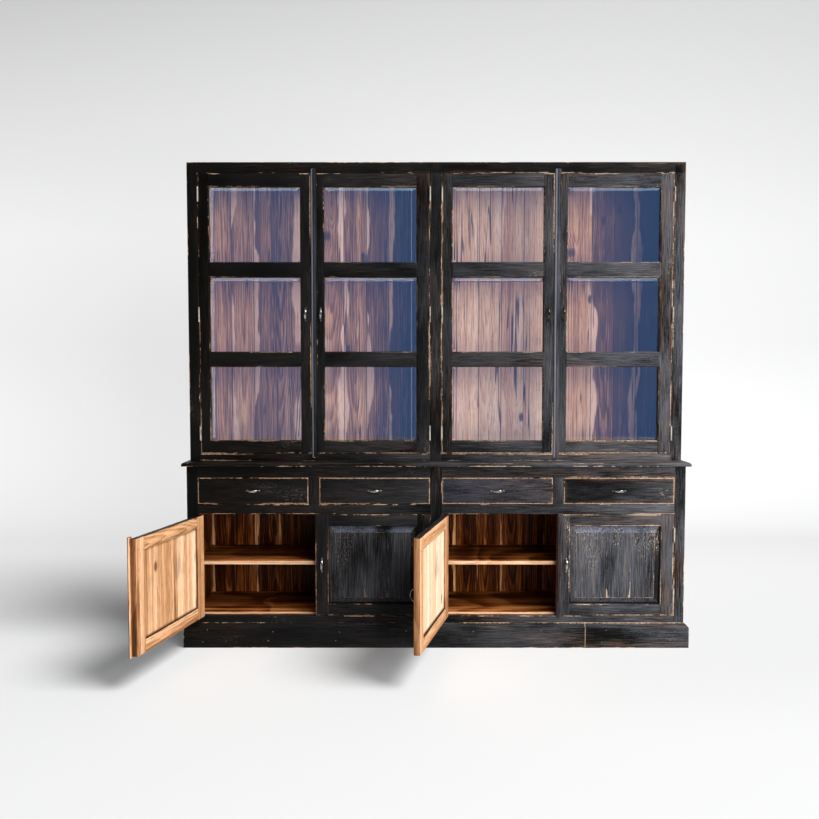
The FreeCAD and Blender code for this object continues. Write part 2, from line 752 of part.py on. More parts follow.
lower_ends = (f"({sill} + door_gap)", f"({lintel} - door_gap)")
upper_ends = (upper_foot, upper_head)
stands_open = {1: "first_door_degrees", 3: "third_door_degrees"}
for number, (hinge_x, swing) in enumerate(hangings, start=1):
    outer = number in (1, 4)
    width = f"({pair_half} {'+' if outer else '-'} lower_meeting_shift)"
    turned = stands_open.get(number, "0")
    door = Door(f"lower_door_{number}", hinge_x, swing, width, "lower_stile", front, lower_ends, turned)
    make_lower_door(door)
    hang(door)
    lap = "strip_lap" if number == 1 else "0"
    make_door_pull(door, f"strip_width - {lap}" if outer else "0")
    if outer:
        make_meeting_strip(door, lap, "lower_strip_overrun")

upper_middle_hinge = f"(({upper_foot} + {upper_head} - hinge_length) / 2)"
for number, (hinge_x, swing) in enumerate(hangings, start=1):
    right_hand = number in (2, 4)
    width = f"({pair_half} {'+' if right_hand else '-'} upper_meeting_shift)"
    stile = "right_hand_stile" if right_hand else "left_hand_stile"
    door = Door(f"upper_door_{number}", hinge_x, swing, width, stile, hutch_front, upper_ends)
    make_upper_door(door)
    hang(door, [upper_middle_hinge])
    make_door_pull(door, "strip_width" if right_hand else "0")
    if right_hand:
        make_meeting_strip(door, "0", "upper_strip_overrun")

node("frame_hinge_leaves", frame_leaves)

# Every object has to be sound before any file is written
doc.recompute()
for thing in doc.Objects:
    if "Invalid" in thing.State or "Error" in thing.State:
        raise RuntimeError(f"{thing.Name} failed: {thing.State}")
for part in nodes:
    if part.Shape.isNull() or not part.Shape.isValid():
        raise RuntimeError(f"{part.Label} has no sound shape")

os.makedirs("parts", exist_ok=True)
for part in nodes:
    part.Shape.exportStep(f"parts/{part.Label}.step")
print(len(nodes), "sub-parts,", sum(len(part.Shape.Solids) for part in nodes), "solids")
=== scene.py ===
import math
import random

import bmesh
import bpy
from mathutils import Matrix, Vector


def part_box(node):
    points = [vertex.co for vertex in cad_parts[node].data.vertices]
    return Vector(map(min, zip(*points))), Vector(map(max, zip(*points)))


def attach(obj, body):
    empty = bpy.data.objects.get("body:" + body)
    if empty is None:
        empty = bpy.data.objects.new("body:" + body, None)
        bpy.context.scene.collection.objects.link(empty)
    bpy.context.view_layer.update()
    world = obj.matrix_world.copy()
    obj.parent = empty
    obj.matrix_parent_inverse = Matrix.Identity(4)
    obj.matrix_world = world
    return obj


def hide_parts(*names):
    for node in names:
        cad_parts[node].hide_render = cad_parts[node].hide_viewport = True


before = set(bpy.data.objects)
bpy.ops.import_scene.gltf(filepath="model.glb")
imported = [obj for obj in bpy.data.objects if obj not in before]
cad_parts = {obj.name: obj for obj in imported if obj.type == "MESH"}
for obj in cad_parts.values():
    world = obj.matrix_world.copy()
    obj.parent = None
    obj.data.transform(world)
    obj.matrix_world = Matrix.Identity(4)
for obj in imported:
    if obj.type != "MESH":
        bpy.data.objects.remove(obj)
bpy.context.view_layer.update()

# Plinth
# Three mitred teak skirting boards with a bevelled top edge, nailed round the foot of the base and
# painted black. Feet and brooms have rubbed the paint off the bevel and along the floor.


def fill(node, inputs):
    """Set or link the inputs of a node."""
    for name, value in dict(inputs).items():
        if isinstance(value, bpy.types.NodeSocket):
            node.id_data.links.new(value, node.inputs[name])
        else:
            node.inputs[name].default_value = value


def add(tree, kind, inputs=(), **options):
    """Add a node with its options and its inputs."""
    made = tree.nodes.new(kind)
    for option, value in options.items():
        setattr(made, option, value)
    fill(made, inputs)
    return made


def tree_of(*values):
    """The node tree that the sockets among some values belong to."""
    return next(value.id_data for value in values if isinstance(value, bpy.types.NodeSocket))


def maths(operation, *values, clamp=False):
    """The result of a sum on numbers."""
    made = add(tree_of(*values), "ShaderNodeMath", enumerate(values), operation=operation, use_clamp=clamp)
    return made.outputs[0]


def times(*values, clamp=False):
    """The product of two numbers."""
    return maths("MULTIPLY", *values, clamp=clamp)


def plus(*values, clamp=False):
    """The sum of two numbers."""
    return maths("ADD", *values, clamp=clamp)


def minus(*values):
    """The first number less the second."""
    return maths("SUBTRACT", *values)


def scaled(*values, clamp=False):
    """The first number times the second, plus the third."""
    return maths("MULTIPLY_ADD", *values, clamp=clamp)


def vectors(operation, *values):
    """The result of a sum on vectors."""
    return add(tree_of(*values), "ShaderNodeVectorMath", enumerate(values), operation=operation).outputs[0]


def step(value, low, high):
    """A smooth change from 0 at low to 1 at high."""
    sockets = {"Value": value, "From Min": low, "From Max": high}
    return add(value.id_data, "ShaderNodeMapRange", sockets, interpolation_type="SMOOTHSTEP").outputs[0]


def below(value, low, high):
    """A smooth change from 1 at low to 0 at high."""
    return minus(1.0, step(value, low, high))


def blend(factor, first, second, kind="MIX"):
    """A colour between two."""
    sockets = {0: factor, 6: first, 7: second}
    mixer = add(tree_of(factor, first), "ShaderNodeMix", sockets, data_type="RGBA", blend_type=kind)
    return mixer.outputs[2]


def noise(place, stretch, detail, rough=0.5):
    """Cloudy variation whose clouds are stretched along the axes."""
    stretched = vectors("MULTIPLY", place, stretch)
    sockets = {"Vector": stretched, "Scale": 1.0, "Detail": detail, "Roughness": rough}
    return add(place.id_data, "ShaderNodeTexNoise", sockets).outputs["Fac"]


def split(vector):
    """The three numbers of a vector."""
    return add(vector.id_data, "ShaderNodeSeparateXYZ", {0: vector}).outputs


def location(tree):
    """Where a point is while everything is at rest."""
    return add(tree, "ShaderNodeTexCoord").outputs["Object"]


def carried(tree, name, output="Vector"):
    """What the points or faces of a piece carry under a name."""
    return add(tree, "ShaderNodeAttribute", attribute_name=name).outputs[output]


def effect(name, inputs, outputs, kind="ShaderNodeTree"):
    """An empty node group with named sockets."""
    group = bpy.data.node_groups.new(name, kind)
    for label, socket in inputs.items():
        group.interface.new_socket(label, in_out="INPUT", socket_type=f"NodeSocket{socket}")
    for label, socket in outputs.items():
        group.interface.new_socket(label, in_out="OUTPUT", socket_type=f"NodeSocket{socket}")
    return group, group.nodes.new("NodeGroupInput").outputs, group.nodes.new("NodeGroupOutput")


# Boards glued side by side into a panel: the grain of each, its tone, and how near the joint is
board_shift = (3.1, 1.7, 0.9)
glued_boards, given, result = effect(
    "glued boards", {"Grain": "Vector", "Place": "Vector", "Board": "Float"},
    {"Grain": "Vector", "Tone": "Float", "Joint": "Float"})
tree = glued_boards
across = split(given["Place"])[1]
across = scaled(given["Board"], 0.35, across)
number = maths("FLOOR", maths("DIVIDE", across, given["Board"]))
inside = minus(across, times(number, given["Board"]))
joint = maths("MINIMUM", inside, minus(given["Board"], inside))
moved = add(tree, "ShaderNodeVectorMath", {0: board_shift, "Scale": number}, operation="SCALE").outputs[0]
tone = add(tree, "ShaderNodeTexWhiteNoise", {"W": number}, noise_dimensions="1D").outputs["Value"]
moved = vectors("ADD", given["Grain"], moved)
fill(result, {"Grain": moved, "Tone": tone, "Joint": joint})

# Bare teak: flame figure, long dark streaks, fibres, open pores, knots, and a pale sapwood edge
cream_teak = (0.93, 0.74, 0.56, 1)
darker_teak = {
    (0.86, 0.56, 0.35, 1): (-1.2, -0.5), (0.68, 0.37, 0.19, 1): (-0.6, 0.1),
    (0.40, 0.18, 0.072, 1): (0.05, 0.6), (0.13, 0.05, 0.019, 1): (0.5, 1.05)}
sap_pink = (0.95, 0.63, 0.45, 1)
pore_brown = (0.09, 0.04, 0.016, 1)
crack_brown = (0.09, 0.04, 0.02, 1)
knot_brown = (0.05, 0.02, 0.008, 1)
rings_per_metre = 130.0
teak, given, result = effect(
    "teak", {"Grain": "Vector", "Place": "Vector", "Half": "Vector", "Shade": "Float", "Sap": "Float"},
    {"Colour": "Color", "Height": "Float", "Fibre": "Float"})
grain = given["Grain"]
place = given["Place"]
log = vectors("SNAP", vectors("SUBTRACT", grain, place), (0.1, 0.1, 0.1))
chance = split(add(teak, "ShaderNodeTexWhiteNoise", {"Vector": log}).outputs["Color"])
along, across = split(place)[:2]
sway = noise(grain, (0.9, 3.0, 3.0), 2.0)
cells = add(teak, "ShaderNodeTexVoronoi", {
    "Vector": vectors("MULTIPLY", grain, (4.0, 8.0, 0.0)), "Scale": 1.0},
    voronoi_dimensions="2D").outputs
knotty = step(split(cells["Color"])[0], 0.82, 0.84)
knot = times(knotty, below(cells["Distance"], 0.05, 0.13))
swirl = times(knotty, below(cells["Distance"], 0.0, 0.5))
side = scaled(minus(chance[0], 0.5), 0.1, across)
side = scaled(minus(sway, 0.5), 0.08, side)
lean = times(along, minus(chance[2], 0.5))
pith = scaled(lean, 0.12, scaled(chance[1], 0.035, 0.012))
radius = maths("SQRT", plus(times(side, side), times(pith, pith)))
ring = maths("FRACT", scaled(radius, rings_per_metre, times(swirl, 1.6)))
late = times(step(ring, 0.1, 0.8), below(ring, 0.86, 1.0))
streaks = noise(grain, (0.4, 26.0, 26.0), 3.0, 0.6)
fibre = noise(grain, (7.0, 300.0, 300.0), 3.0, 0.65)
pores = step(noise(grain, (18.0, 620.0, 620.0), 1.0), 0.58, 0.7)
depth = scaled(given["Shade"], 0.8, -0.2)
depth = scaled(late, 0.42, depth)
contrast = scaled(given["Sap"], -1.0, 2.9)
depth = scaled(minus(streaks, 0.5), contrast, depth)
contrast = scaled(given["Sap"], 0.8, 1.8)
depth = scaled(minus(fibre, 0.5), contrast, depth)
heart = cream_teak
for colour, (low, high) in darker_teak.items():
    heart = blend(step(depth, low, high), heart, colour)
edge = times(across, maths("SIGN", minus(chance[0], 0.5)))
edge = minus(split(given["Half"])[1], edge)
edge = scaled(minus(fibre, 0.5), 0.02, edge)
ragged = noise(grain, (6.0, 40.0, 40.0), 2.0)
edge = scaled(minus(ragged, 0.5), 0.03, edge)
reach = step(noise(grain, (2.4, 0.7, 0.7), 2.0), 0.36, 0.68)
reach = times(times(reach, 0.036), given["Sap"])
sapwood = below(edge, times(reach, 0.8), plus(reach, 0.003))
sapwood = times(sapwood, step(reach, 0.001, 0.006))
wood = blend(times(sapwood, 0.92), heart, sap_pink)
wood = blend(times(pores, 0.62), wood, pore_brown)
drift = noise(grain, (0.8, 24.0, 24.0), 2.0)
crack = below(maths("ABSOLUTE", minus(drift, 0.5)), 0.006, 0.018)
cracked = step(noise(grain, (2.4, 7.0, 7.0), 2.0), 0.45, 0.56)
crack = times(crack, cracked)
wood = blend(times(crack, given["Sap"]), wood, crack_brown)
wood = blend(times(knot, 0.85), wood, knot_brown)
hollows = plus(times(pores, 0.6), times(late, 0.2))
fill(result, {"Colour": wood, "Fibre": fibre, "Height": minus(fibre, hollows)})

# Edge wear: bare wood on the arrises, patchy along them, with a rubbed margin beside it
edge_wear, given, result = effect(
    "edge wear",
    {"Grain": "Vector", "Place": "Vector", "Half": "Vector", "Open": "Vector", "Width": "Float",
     "Amount": "Float"},
    {"Bare": "Float", "Rub": "Float"})
along, across, through = split(given["Place"])
half_along, half_across, half_through = split(given["Half"])
hidden = split(vectors("SUBTRACT", (1.0, 1.0, 1.0), given["Open"]))
from_end = minus(half_along, maths("ABSOLUTE", along))
from_end = plus(from_end, hidden[0])
from_far = plus(minus(half_across, across), hidden[1])
from_near = plus(plus(half_across, across), hidden[2])
from_side = maths("MINIMUM", from_far, from_near)
from_face = minus(half_through, maths("ABSOLUTE", through))
lesser = maths("MINIMUM", from_side, from_face)
greater = maths("MAXIMUM", from_side, from_face)
margin = maths("MAXIMUM", lesser, maths("MINIMUM", greater, from_end))
patches = times(noise(given["Grain"], (2.6, 9.0, 9.0), 2.0), 0.65)
patches = scaled(noise(given["Grain"], (24.0, 60.0, 60.0), 2.0), 0.35, patches)
ragged = noise(given["Grain"], (90.0, 380.0, 380.0), 3.0, 0.7)
wander = minus(ragged, 0.5)
worn_from = scaled(given["Amount"], -0.4, 0.6)
reach = step(patches, worn_from, plus(worn_from, 0.12))
bare_reach = times(reach, given["Width"])
chipped = scaled(times(wander, given["Width"]), 4.0, margin)
bare = below(chipped, times(bare_reach, 0.7), plus(bare_reach, 0.0003))
bare = times(bare, step(reach, 0.03, 0.25))
wide = noise(given["Grain"], (1.1, 5.0, 5.0), 2.0)
rub_from = scaled(given["Amount"], -0.35, 0.58)
rub_reach = step(wide, rub_from, plus(rub_from, 0.2))
rub_reach = scaled(rub_reach, 0.022, 0.001)
rub = below(scaled(wander, 0.04, margin), 0.0, rub_reach)
fill(result, {"Bare": bare, "Rub": rub})


def finished(name):
    """A new material with its tree and its main shader."""
    material = bpy.data.materials.new(name)
    material.use_nodes = True
    return material, material.node_tree, material.node_tree.nodes["Principled BSDF"]


def darkened_brown(colour, amount):
    """Wood darker and browner by an amount, for age, and inside the base for painted shade as well."""
    darkening_tint = (0.78, 0.9, 0.84, 1)
    dark = blend(1.0, colour, colour, "MULTIPLY")
    dark = blend(1.0, dark, darkening_tint, "MULTIPLY")
    return blend(amount, colour, dark)


def bumped(shader, height, strength, distance):
    """Let a height roughen the surface of a material."""
    sockets = {"Height": height, "Strength": strength, "Distance": distance}
    fill(shader, {"Normal": add(shader.id_data, "ShaderNodeBump", sockets).outputs[0]})


# Black paint over teak, worn more and lit by painted light towards the right, where a chalky grey is mostly
# painted sheen, and bare on the faces that were not painted
black_paint, tree, shader = finished("distressed_black_paint")
fresh_black = (0.002, 0.0018, 0.0016, 1)
rubbed_black = (0.0065, 0.006, 0.0056, 1)
chalky_sheen_grey = (0.112, 0.115, 0.13, 1)
blue_dust_and_sheen = (0.14, 0.165, 0.25, 1)
silver_highlight = (0.42, 0.44, 0.5, 1)
thin_brown = (0.15, 0.082, 0.05, 1)
hairline_tan = (0.30, 0.20, 0.135, 1)
chip_cream = (0.62, 0.51, 0.41, 1)
recess_shade_black = (0.002, 0.002, 0.002, 1)
seam_and_shade_brown = (0.02, 0.01, 0.005, 1)
damp_brown = (0.16, 0.11, 0.085, 1)
bright_bare = (0.70, 0.46, 0.30, 1)
brown_bare = (0.30, 0.15, 0.075, 1)
rightward_pale_bare = (0.72, 0.56, 0.43, 1)
worn_width = 0.0036
field_edge = 0.0395
grain = carried(tree, "grain")
place = carried(tree, "place")
half = carried(tree, "half")
covered, shade, wear = split(carried(tree, "finish"))
board = carried(tree, "board", "Fac")
is_panel = below(board, 0.5, 1.0)
glued = add(tree, "ShaderNodeGroup", {"Grain": grain, "Place": place, "Board": board}, node_tree=glued_boards)
glued = glued.outputs
tone = times(is_panel, minus(glued["Tone"], 0.5))
board_shade = scaled(tone, 0.9, shade)
wood = add(tree, "ShaderNodeGroup", {
    "Grain": glued["Grain"], "Place": place, "Half": half, "Shade": board_shade}, node_tree=teak).outputs
stained = darkened_brown(wood["Colour"], wear)
sight = split(vectors("SUBTRACT", half, vectors("ABSOLUTE", place)))
sight_edge = maths("MINIMUM", sight[0], sight[1])
# Painted shade in the recess round a panel's field, wider at its foot, on both faces; on the bare face it
# joins the dark joints between the boards
at_foot = below(split(place)[0], -0.165, -0.1)
recess_shade_to = scaled(at_foot, 0.009, 0.0145)
recess_shade = times(is_panel, below(sight_edge, 0.009, recess_shade_to))
seams_and_recess_shade = times(is_panel, below(glued["Joint"], 0.0002, 0.0013))
seams_and_recess_shade = maths("MAXIMUM", recess_shade, times(seams_and_recess_shade, 0.7))
stained = blend(times(seams_and_recess_shade, 0.92), stained, seam_and_shade_brown)
damp = step(noise(place, (3.6, 9.0, 9.0), 2.0), 0.56, 0.7)
damp = times(is_panel, times(damp, 0.5))
stained = blend(damp, stained, damp_brown)

# Painted light: the paint, its sheen and its marks are lighter towards the right, and worn more there
light_and_wear_rightward = split(location(tree))[0]
light_and_wear_rightward = maths("POWER", scaled(light_and_wear_rightward, 0.44, 0.5, clamp=True), 2.0)
amount = times(wear, scaled(light_and_wear_rightward, 0.4, 0.8))
worn = add(tree, "ShaderNodeGroup", {
    "Grain": grain, "Place": place, "Half": half, "Open": carried(tree, "open"), "Width": worn_width,
    "Amount": amount}, node_tree=edge_wear).outputs
brushed = noise(grain, (9.0, 330.0, 330.0), 3.0, 0.65)
speckle = noise(grain, (190.0, 260.0, 260.0), 2.0, 0.65)
clouds = noise(grain, (2.2, 7.0, 7.0), 3.0)
scuffed = plus(times(clouds, 0.5), times(brushed, 0.3))
scuffed = scaled(speckle, 0.2, scuffed)
coat = blend(step(scuffed, 0.4, 0.62), fresh_black, rubbed_black)
# Painted sheen: a chalky grey, strongest to the right and on the panels' fields, and less where a finish asks
chalky_sheen = plus(light_and_wear_rightward, times(is_panel, 0.62), clamp=True)
chalky_sheen = times(chalky_sheen, plus(shade, 1.0, clamp=True))
chalky_sheen = times(chalky_sheen, step(scuffed, 0.38, 0.6))
streaked = scaled(step(brushed, 0.36, 0.62), 0.7, 0.45)
coat = blend(times(chalky_sheen, streaked, clamp=True), coat, chalky_sheen_grey)
# Dust, with a painted bluish sheen of sky light, on upward bevels and the strips' fronts
dust_and_sheen = times(maths("MAXIMUM", shade, 0.0), step(scuffed, 0.4, 0.56))
coat = blend(dust_and_sheen, coat, blue_dust_and_sheen)
# A painted highlight: a silver line down the left flank of the upper strips
coat = blend(times(step(shade, 0.85, 1.0), 0.9), coat, silver_highlight)
thin = times(worn["Rub"], step(brushed, 0.42, 0.6))
patch = step(noise(grain, (1.3, 8.0, 8.0), 2.0), 0.5, 0.66)
patch = times(patch, step(brushed, 0.48, 0.62))
thin = maths("MAXIMUM", thin, times(patch, 0.8))
thin = times(thin, scaled(light_and_wear_rightward, 0.85, 0.1))
thin = times(thin, scaled(is_panel, -0.7, 1.0))
coat = blend(thin, coat, thin_brown)
lines = step(noise(grain, (5.0, 420.0, 420.0), 2.0), 0.64, 0.7)
lines = times(lines, step(clouds, 0.48, 0.62))
lines = times(lines, scaled(light_and_wear_rightward, 0.85, 0.06))
coat = blend(lines, coat, hairline_tan)
chips = step(noise(grain, (70.0, 290.0, 290.0), 3.0, 0.7), 0.57, 0.62)
high_up = times(is_panel, split(place)[0])
leftward = times(is_panel, split(place)[1])
chips_in = scaled(high_up, 0.75, noise(grain, (3.0, 9.0, 9.0), 1.0))
chips_in = scaled(leftward, -0.6, chips_in)
chips_in = scaled(is_panel, 0.12, chips_in)
chips = times(chips, step(chips_in, 0.66, 0.82))
chips = times(chips, scaled(light_and_wear_rightward, 0.85, 0.15))
torn = noise(grain, (14.0, 120.0, 120.0), 3.0, 0.65)
opened = scaled(torn, 0.02, glued["Joint"])
flaked = times(at_foot, step(glued["Tone"], 0.4, 0.5))
flaked = times(flaked, step(sight_edge, 0.038, 0.04))
opened = scaled(flaked, times(speckle, -0.024), opened)
opened = times(is_panel, below(opened, 0.0075, 0.0095))
arris = maths("ABSOLUTE", minus(sight_edge, field_edge))
arris = below(scaled(speckle, 0.006, arris), 0.0028, 0.0042)
flaking = step(noise(grain, (9.0, 40.0, 40.0), 2.0), 0.4, 0.56)
arris = times(is_panel, times(arris, flaking))
loose = maths("MAXIMUM", opened, arris)
loose = times(loose, scaled(light_and_wear_rightward, 0.7, 0.3))
bared = maths("MAXIMUM", worn["Bare"], loose)
bare_tone = blend(step(brushed, 0.3, 0.7), bright_bare, brown_bare)
# Painted light: bare wood is paler towards the right
bare_tone = blend(times(light_and_wear_rightward, 0.6), bare_tone, rightward_pale_bare)
painted = blend(bared, coat, bare_tone)
painted = blend(chips, painted, chip_cream)
# Painted shade in the recess round the field
painted = blend(recess_shade, painted, recess_shade_black)
gloss = scaled(scuffed, 0.4, 0.28)
gloss = maths("MAXIMUM", gloss, times(bared, 0.6))
gloss = maths("MAXIMUM", gloss, scaled(covered, -0.6, 0.6))
surface = blend(covered, stained, painted)
fill(shader, {"Base Color": surface, "Roughness": gloss, "Specular IOR Level": 0.1})
relief = scaled(bared, -0.5, scaled(brushed, 0.6, wood["Height"]))
bumped(shader, relief, 0.4, 0.0012)


def closed_corners(node, turn):
    """The corners of a CAD node's triangles, turned back to where the piece is made."""
    back = turn.inverted()
    return [tuple(back @ vertex.co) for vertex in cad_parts[node].data.vertices]


def solids_of(node, turn):
    """The separate solids of a CAD node, as lists of faces."""
    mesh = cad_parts[node].data
    corners = closed_corners(node, turn)
    shared = {}
    for face in mesh.polygons:
        for first, second in face.edge_keys:
            shared.setdefault(frozenset((corners[first], corners[second])), []).append(face.index)
    parent = list(range(len(mesh.polygons)))

    def head(index):
        while parent[index] != index:
            index = parent[index]
        return index

    for faces in shared.values():
        if len(faces) == 2:
            parent[head(faces[0])] = head(faces[1])
    solids = {}
    for face in mesh.polygons:
        solids.setdefault(head(face.index), []).append([corners[index] for index in face.vertices])
    return list(solids.values())


def rounded(faces, arris):
    """One solid with its flat faces joined up and its outer edges eased."""
    flat_within = 0.01
    sharp_beyond = 0.5
    solid = bmesh.new()
    made = {}
    for face in faces:
        for corner in face:
            if corner not in made:
                made[corner] = solid.verts.new(corner)
        if len({made[corner] for corner in face}) == len(face):
            solid.faces.new([made[corner] for corner in face])
    bmesh.ops.dissolve_limit(solid, angle_limit=flat_within, verts=solid.verts, edges=solid.edges)
    solid.normal_update()
    sharp = [edge for edge in solid.edges if edge.is_convex and edge.calc_face_angle(0) > sharp_beyond]
    bmesh.ops.bevel(
        solid, geom=sharp, offset=arris, segments=2, profile=0.6, affect="EDGES", clamp_overlap=True)
    solid.normal_update()
    return solid


def hang(piece, node, body):
    """Let a piece stand for a CAD node and move with its body."""
    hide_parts(node)
    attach(piece, body)


def span(corners):
    """The lowest and highest corners of some points."""
    low = Vector([min(corner[axis] for corner in corners) for axis in range(3)])
    high = Vector([max(corner[axis] for corner in corners) for axis in range(3)])
    return low, high


def touches(gap):
    """Whether two faces meet, or stand as near as boards that do."""
    return -0.001 < gap < 0.003


def butts_on(box, boxes, order):
    """Where other boards butt on a board: at its end (0), far side (1) or near side (2), from and to."""
    low, high = box
    first, cross, deep = order
    slim = 0.015
    overlap = 0.005
    found = []
    for other in boxes:
        if other is box:
            continue
        shared = [min(high[axis], other[1][axis]) - max(low[axis], other[0][axis]) for axis in range(3)]
        wide = min(other[1][axis] - other[0][axis] for axis in (first, cross)) > slim
        if shared[deep] < overlap or not wide:
            continue
        start = max(low[first], other[0][first])
        end = min(high[first], other[1][first])
        if shared[first] > overlap and touches(high[cross] - other[0][cross]):
            found.append((1, start, end))
        if shared[first] > overlap and touches(other[1][cross] - low[cross]):
            found.append((2, start, end))
        if shared[cross] > overlap and touches(shared[first]):
            found.append((0, low[first], high[first]))
    return found


single_board = 4.0


def placed(name, data):
    """A new object in the scene."""
    made = bpy.data.objects.new(name, data)
    bpy.context.scene.collection.objects.link(made)
    return made


def board_piece(name, node, body, slot, material, finish, turn=Matrix(), arris=0.0012, along=None,
                glued=single_board, crease=0.44, cuts=()):
    """A CAD node's boards with eased arrises. Points know their place in a board, along the grain first."""
    chance = random.Random(name)
    end_margin = 0.003
    points, faces, grains, places, halves, finishes, opens = [], [], [], [], [], [], []
    solids = [rounded(boards, arris) for boards in solids_of(node, turn)]
    boxes = [span([vertex.co for vertex in solid.verts]) for solid in solids]
    for solid, box in zip(solids, boxes):
        low, high = box
        size = high - low
        first = along if along is not None else max(range(3), key=lambda axis: size[axis])
        order = [first] + sorted((axis for axis in range(3) if axis != first), key=lambda axis: axis == 1)
        butts = butts_on(box, boxes, order)
        way = Vector([1.0 if axis == first else 0.0 for axis in range(3)])
        for cut in {round(bound, 5) for butt in butts for bound in butt[1:]}.union(cuts):
            if low[first] + end_margin < cut < high[first] - end_margin:
                whole = solid.verts[:] + solid.edges[:] + solid.faces[:]
                bmesh.ops.bisect_plane(solid, geom=whole, dist=1e-6, plane_co=way * cut, plane_no=way)
        shift = Vector([chance.randrange(200) / 10 + 0.05 for axis in range(3)])
        shade = chance.random()
        half = Vector([size[axis] / 2 for axis in order])
        start = len(points)
        for vertex in solid.verts:
            inside = vertex.co - (low + high) / 2
            place = Vector([inside[axis] for axis in order])
            points.append(turn @ vertex.co)
            grains.append(place + shift)
            places.append(place)
            halves.append(half)
        solid.verts.index_update()
        for face in solid.faces:
            centre = face.calc_center_median()
            faces.append([start + vertex.index for vertex in face.verts])
            finishes.append(finish(face.normal, centre, shade))
            free = [1.0, 1.0, 1.0]
            for side, begin, end in butts:
                if begin < centre[first] < end:
                    free[side] = 0.0
            opens.append(free)
        solid.free()
    mesh = bpy.data.meshes.new(name)
    mesh.from_pydata(points, [], faces)
    layers = {"grain": ("POINT", grains), "place": ("POINT", places), "half": ("POINT", halves),
              "finish": ("FACE", finishes), "open": ("FACE", opens)}
    for label, (domain, values) in layers.items():
        layer = mesh.attributes.new(label, "FLOAT_VECTOR", domain)
        layer.data.foreach_set("vector", [number for value in values for number in value])
    width = mesh.attributes.new("board", "FLOAT", "POINT")
    width.data.foreach_set("value", [glued] * len(points))
    mesh.polygons.foreach_set("use_smooth", [True] * len(mesh.polygons))
    mesh.set_sharp_from_angle(angle=crease)
    mesh.materials.append(material)
    hang(placed(name, mesh), node, body)


# A finish is three numbers: 1 for paint or 0 for bare wood, then the paint's dust and painted sheen, less
# below zero, or the wood's shade, then its wear or stain
def plinth_finish(normal, centre, shade):
    """Paint all over, worn on the bevel and cracked open at the joint in the front board."""
    if seam_from < centre.x < seam_to and normal.y < -0.5:
        return 0.0, -1.2, 0.0
    return 1.0, 0.0, (0.6 if normal.z > 0.2 else 0.25)


def painted_piece(name, node, body, finish, turn=Matrix(), **options):
    """Boards under black paint."""
    board_piece(name, node, body, "black_paint", black_paint, finish, turn, **options)


seam_from = 0.7049
seam_to = 0.7061
painted_piece("plinth_boards", "plinth", "cabinet", plinth_finish, arris=0.0016, cuts=(seam_from, seam_to))

# Base carcass
# Two teak sides, a centre partition and the floor board, painted outside and left bare inside,
# glued and nailed behind the face frame. The bare wood inside is dark, for age and as painted shade.
outer_side = 1.17
roof_top = 2.288


def on_outside(centre):
    """Whether a face is on the outer sides or the top of the cabinet."""
    return abs(centre.x) > outer_side or centre.z > roof_top


def case_finish(normal, centre, shade):
    """Paint on the outer faces of the case, dark bare wood inside it and a pale front edge on its floor."""
    if on_outside(centre):
        return 1.0, -0.4, 0.25
    if normal.y < -0.5:
        return 0.0, -0.3, 0.0
    # Dark stain inside the base, for age and as painted shade
    return 0.0, 0.6 + 0.25 * shade, 1.0


painted_piece("base_case", "base_carcass", "cabinet", case_finish)

# Base face frame
# Teak stiles and rails, pegged together flush and painted black, with the drawer dividers between
# the middle and top rails. The paint is thin along every opening.
top_rail_from = 2.2


def frame_finish(normal, centre, shade):
    """Paint on the front and the edges, blackest on the top rail where the painted sheen is left off, and
    dark bare wood at the back.
    """
    if normal.y > 0.5:
        return 0.0, shade, 0.8
    return 1.0, (-0.9 if centre.z > top_rail_from else 0.0), 0.2


painted_piece("base_front", "base_face_frame", "cabinet", frame_finish)

# Base shelves and drawer runners
# Bare teak boards made dark, for age and as painted shade: one shelf in each bay on cleats, with a pale
# planed front edge, and the runners, guides and kickers that carry the drawers.
bare_teak, tree, shader = finished("aged_and_shaded_teak")
gap_brown = (0.03, 0.016, 0.01, 1)
grain = carried(tree, "grain")
shade, stain = split(carried(tree, "finish"))[1:]
# Painted light: the hutch's bare wood is paler towards its foot
height = split(location(tree))[2]
painted_light_low = times(step(height, 0.86, 0.9), below(height, 0.95, 2.1))
shade = scaled(painted_light_low, -0.35, shade)
wood = add(tree, "ShaderNodeGroup", {
    "Grain": grain, "Place": carried(tree, "place"), "Half": carried(tree, "half"), "Shade": shade,
    "Sap": carried(tree, "sap", "Fac")}, node_tree=teak).outputs
stained = darkened_brown(wood["Colour"], stain)
inside = vectors("ABSOLUTE", carried(tree, "place"))
from_edge = split(vectors("SUBTRACT", carried(tree, "half"), inside))[1]
gap = below(from_edge, 0.0008, 0.0026)
gap = times(times(gap, 0.8), carried(tree, "sap", "Fac"))
stained = blend(gap, stained, gap_brown)
gloss = scaled(wood["Fibre"], 0.25, 0.45)
fill(shader, {"Base Color": stained, "Roughness": gloss, "Specular IOR Level": 0.25})
bumped(shader, wood["Height"], 0.3, 0.0012)


def bare_piece(name, node, body, finish):
    """Boards of bare teak."""
    board_piece(name, node, body, "bare_teak", bare_teak, finish)


def shelf_finish(normal, centre, shade):
    """Dark bare wood with a pale front edge."""
    if normal.y < -0.3:
        return 0.0, -0.2, 0.0
    # Dark stain inside the base, for age and as painted shade
    return 0.0, 0.6 + 0.25 * shade, 1.0


bare_piece("base_shelf_boards", "base_shelves", "cabinet", shelf_finish)
bare_piece("runner_boards", "drawer_runners", "cabinet", shelf_finish)

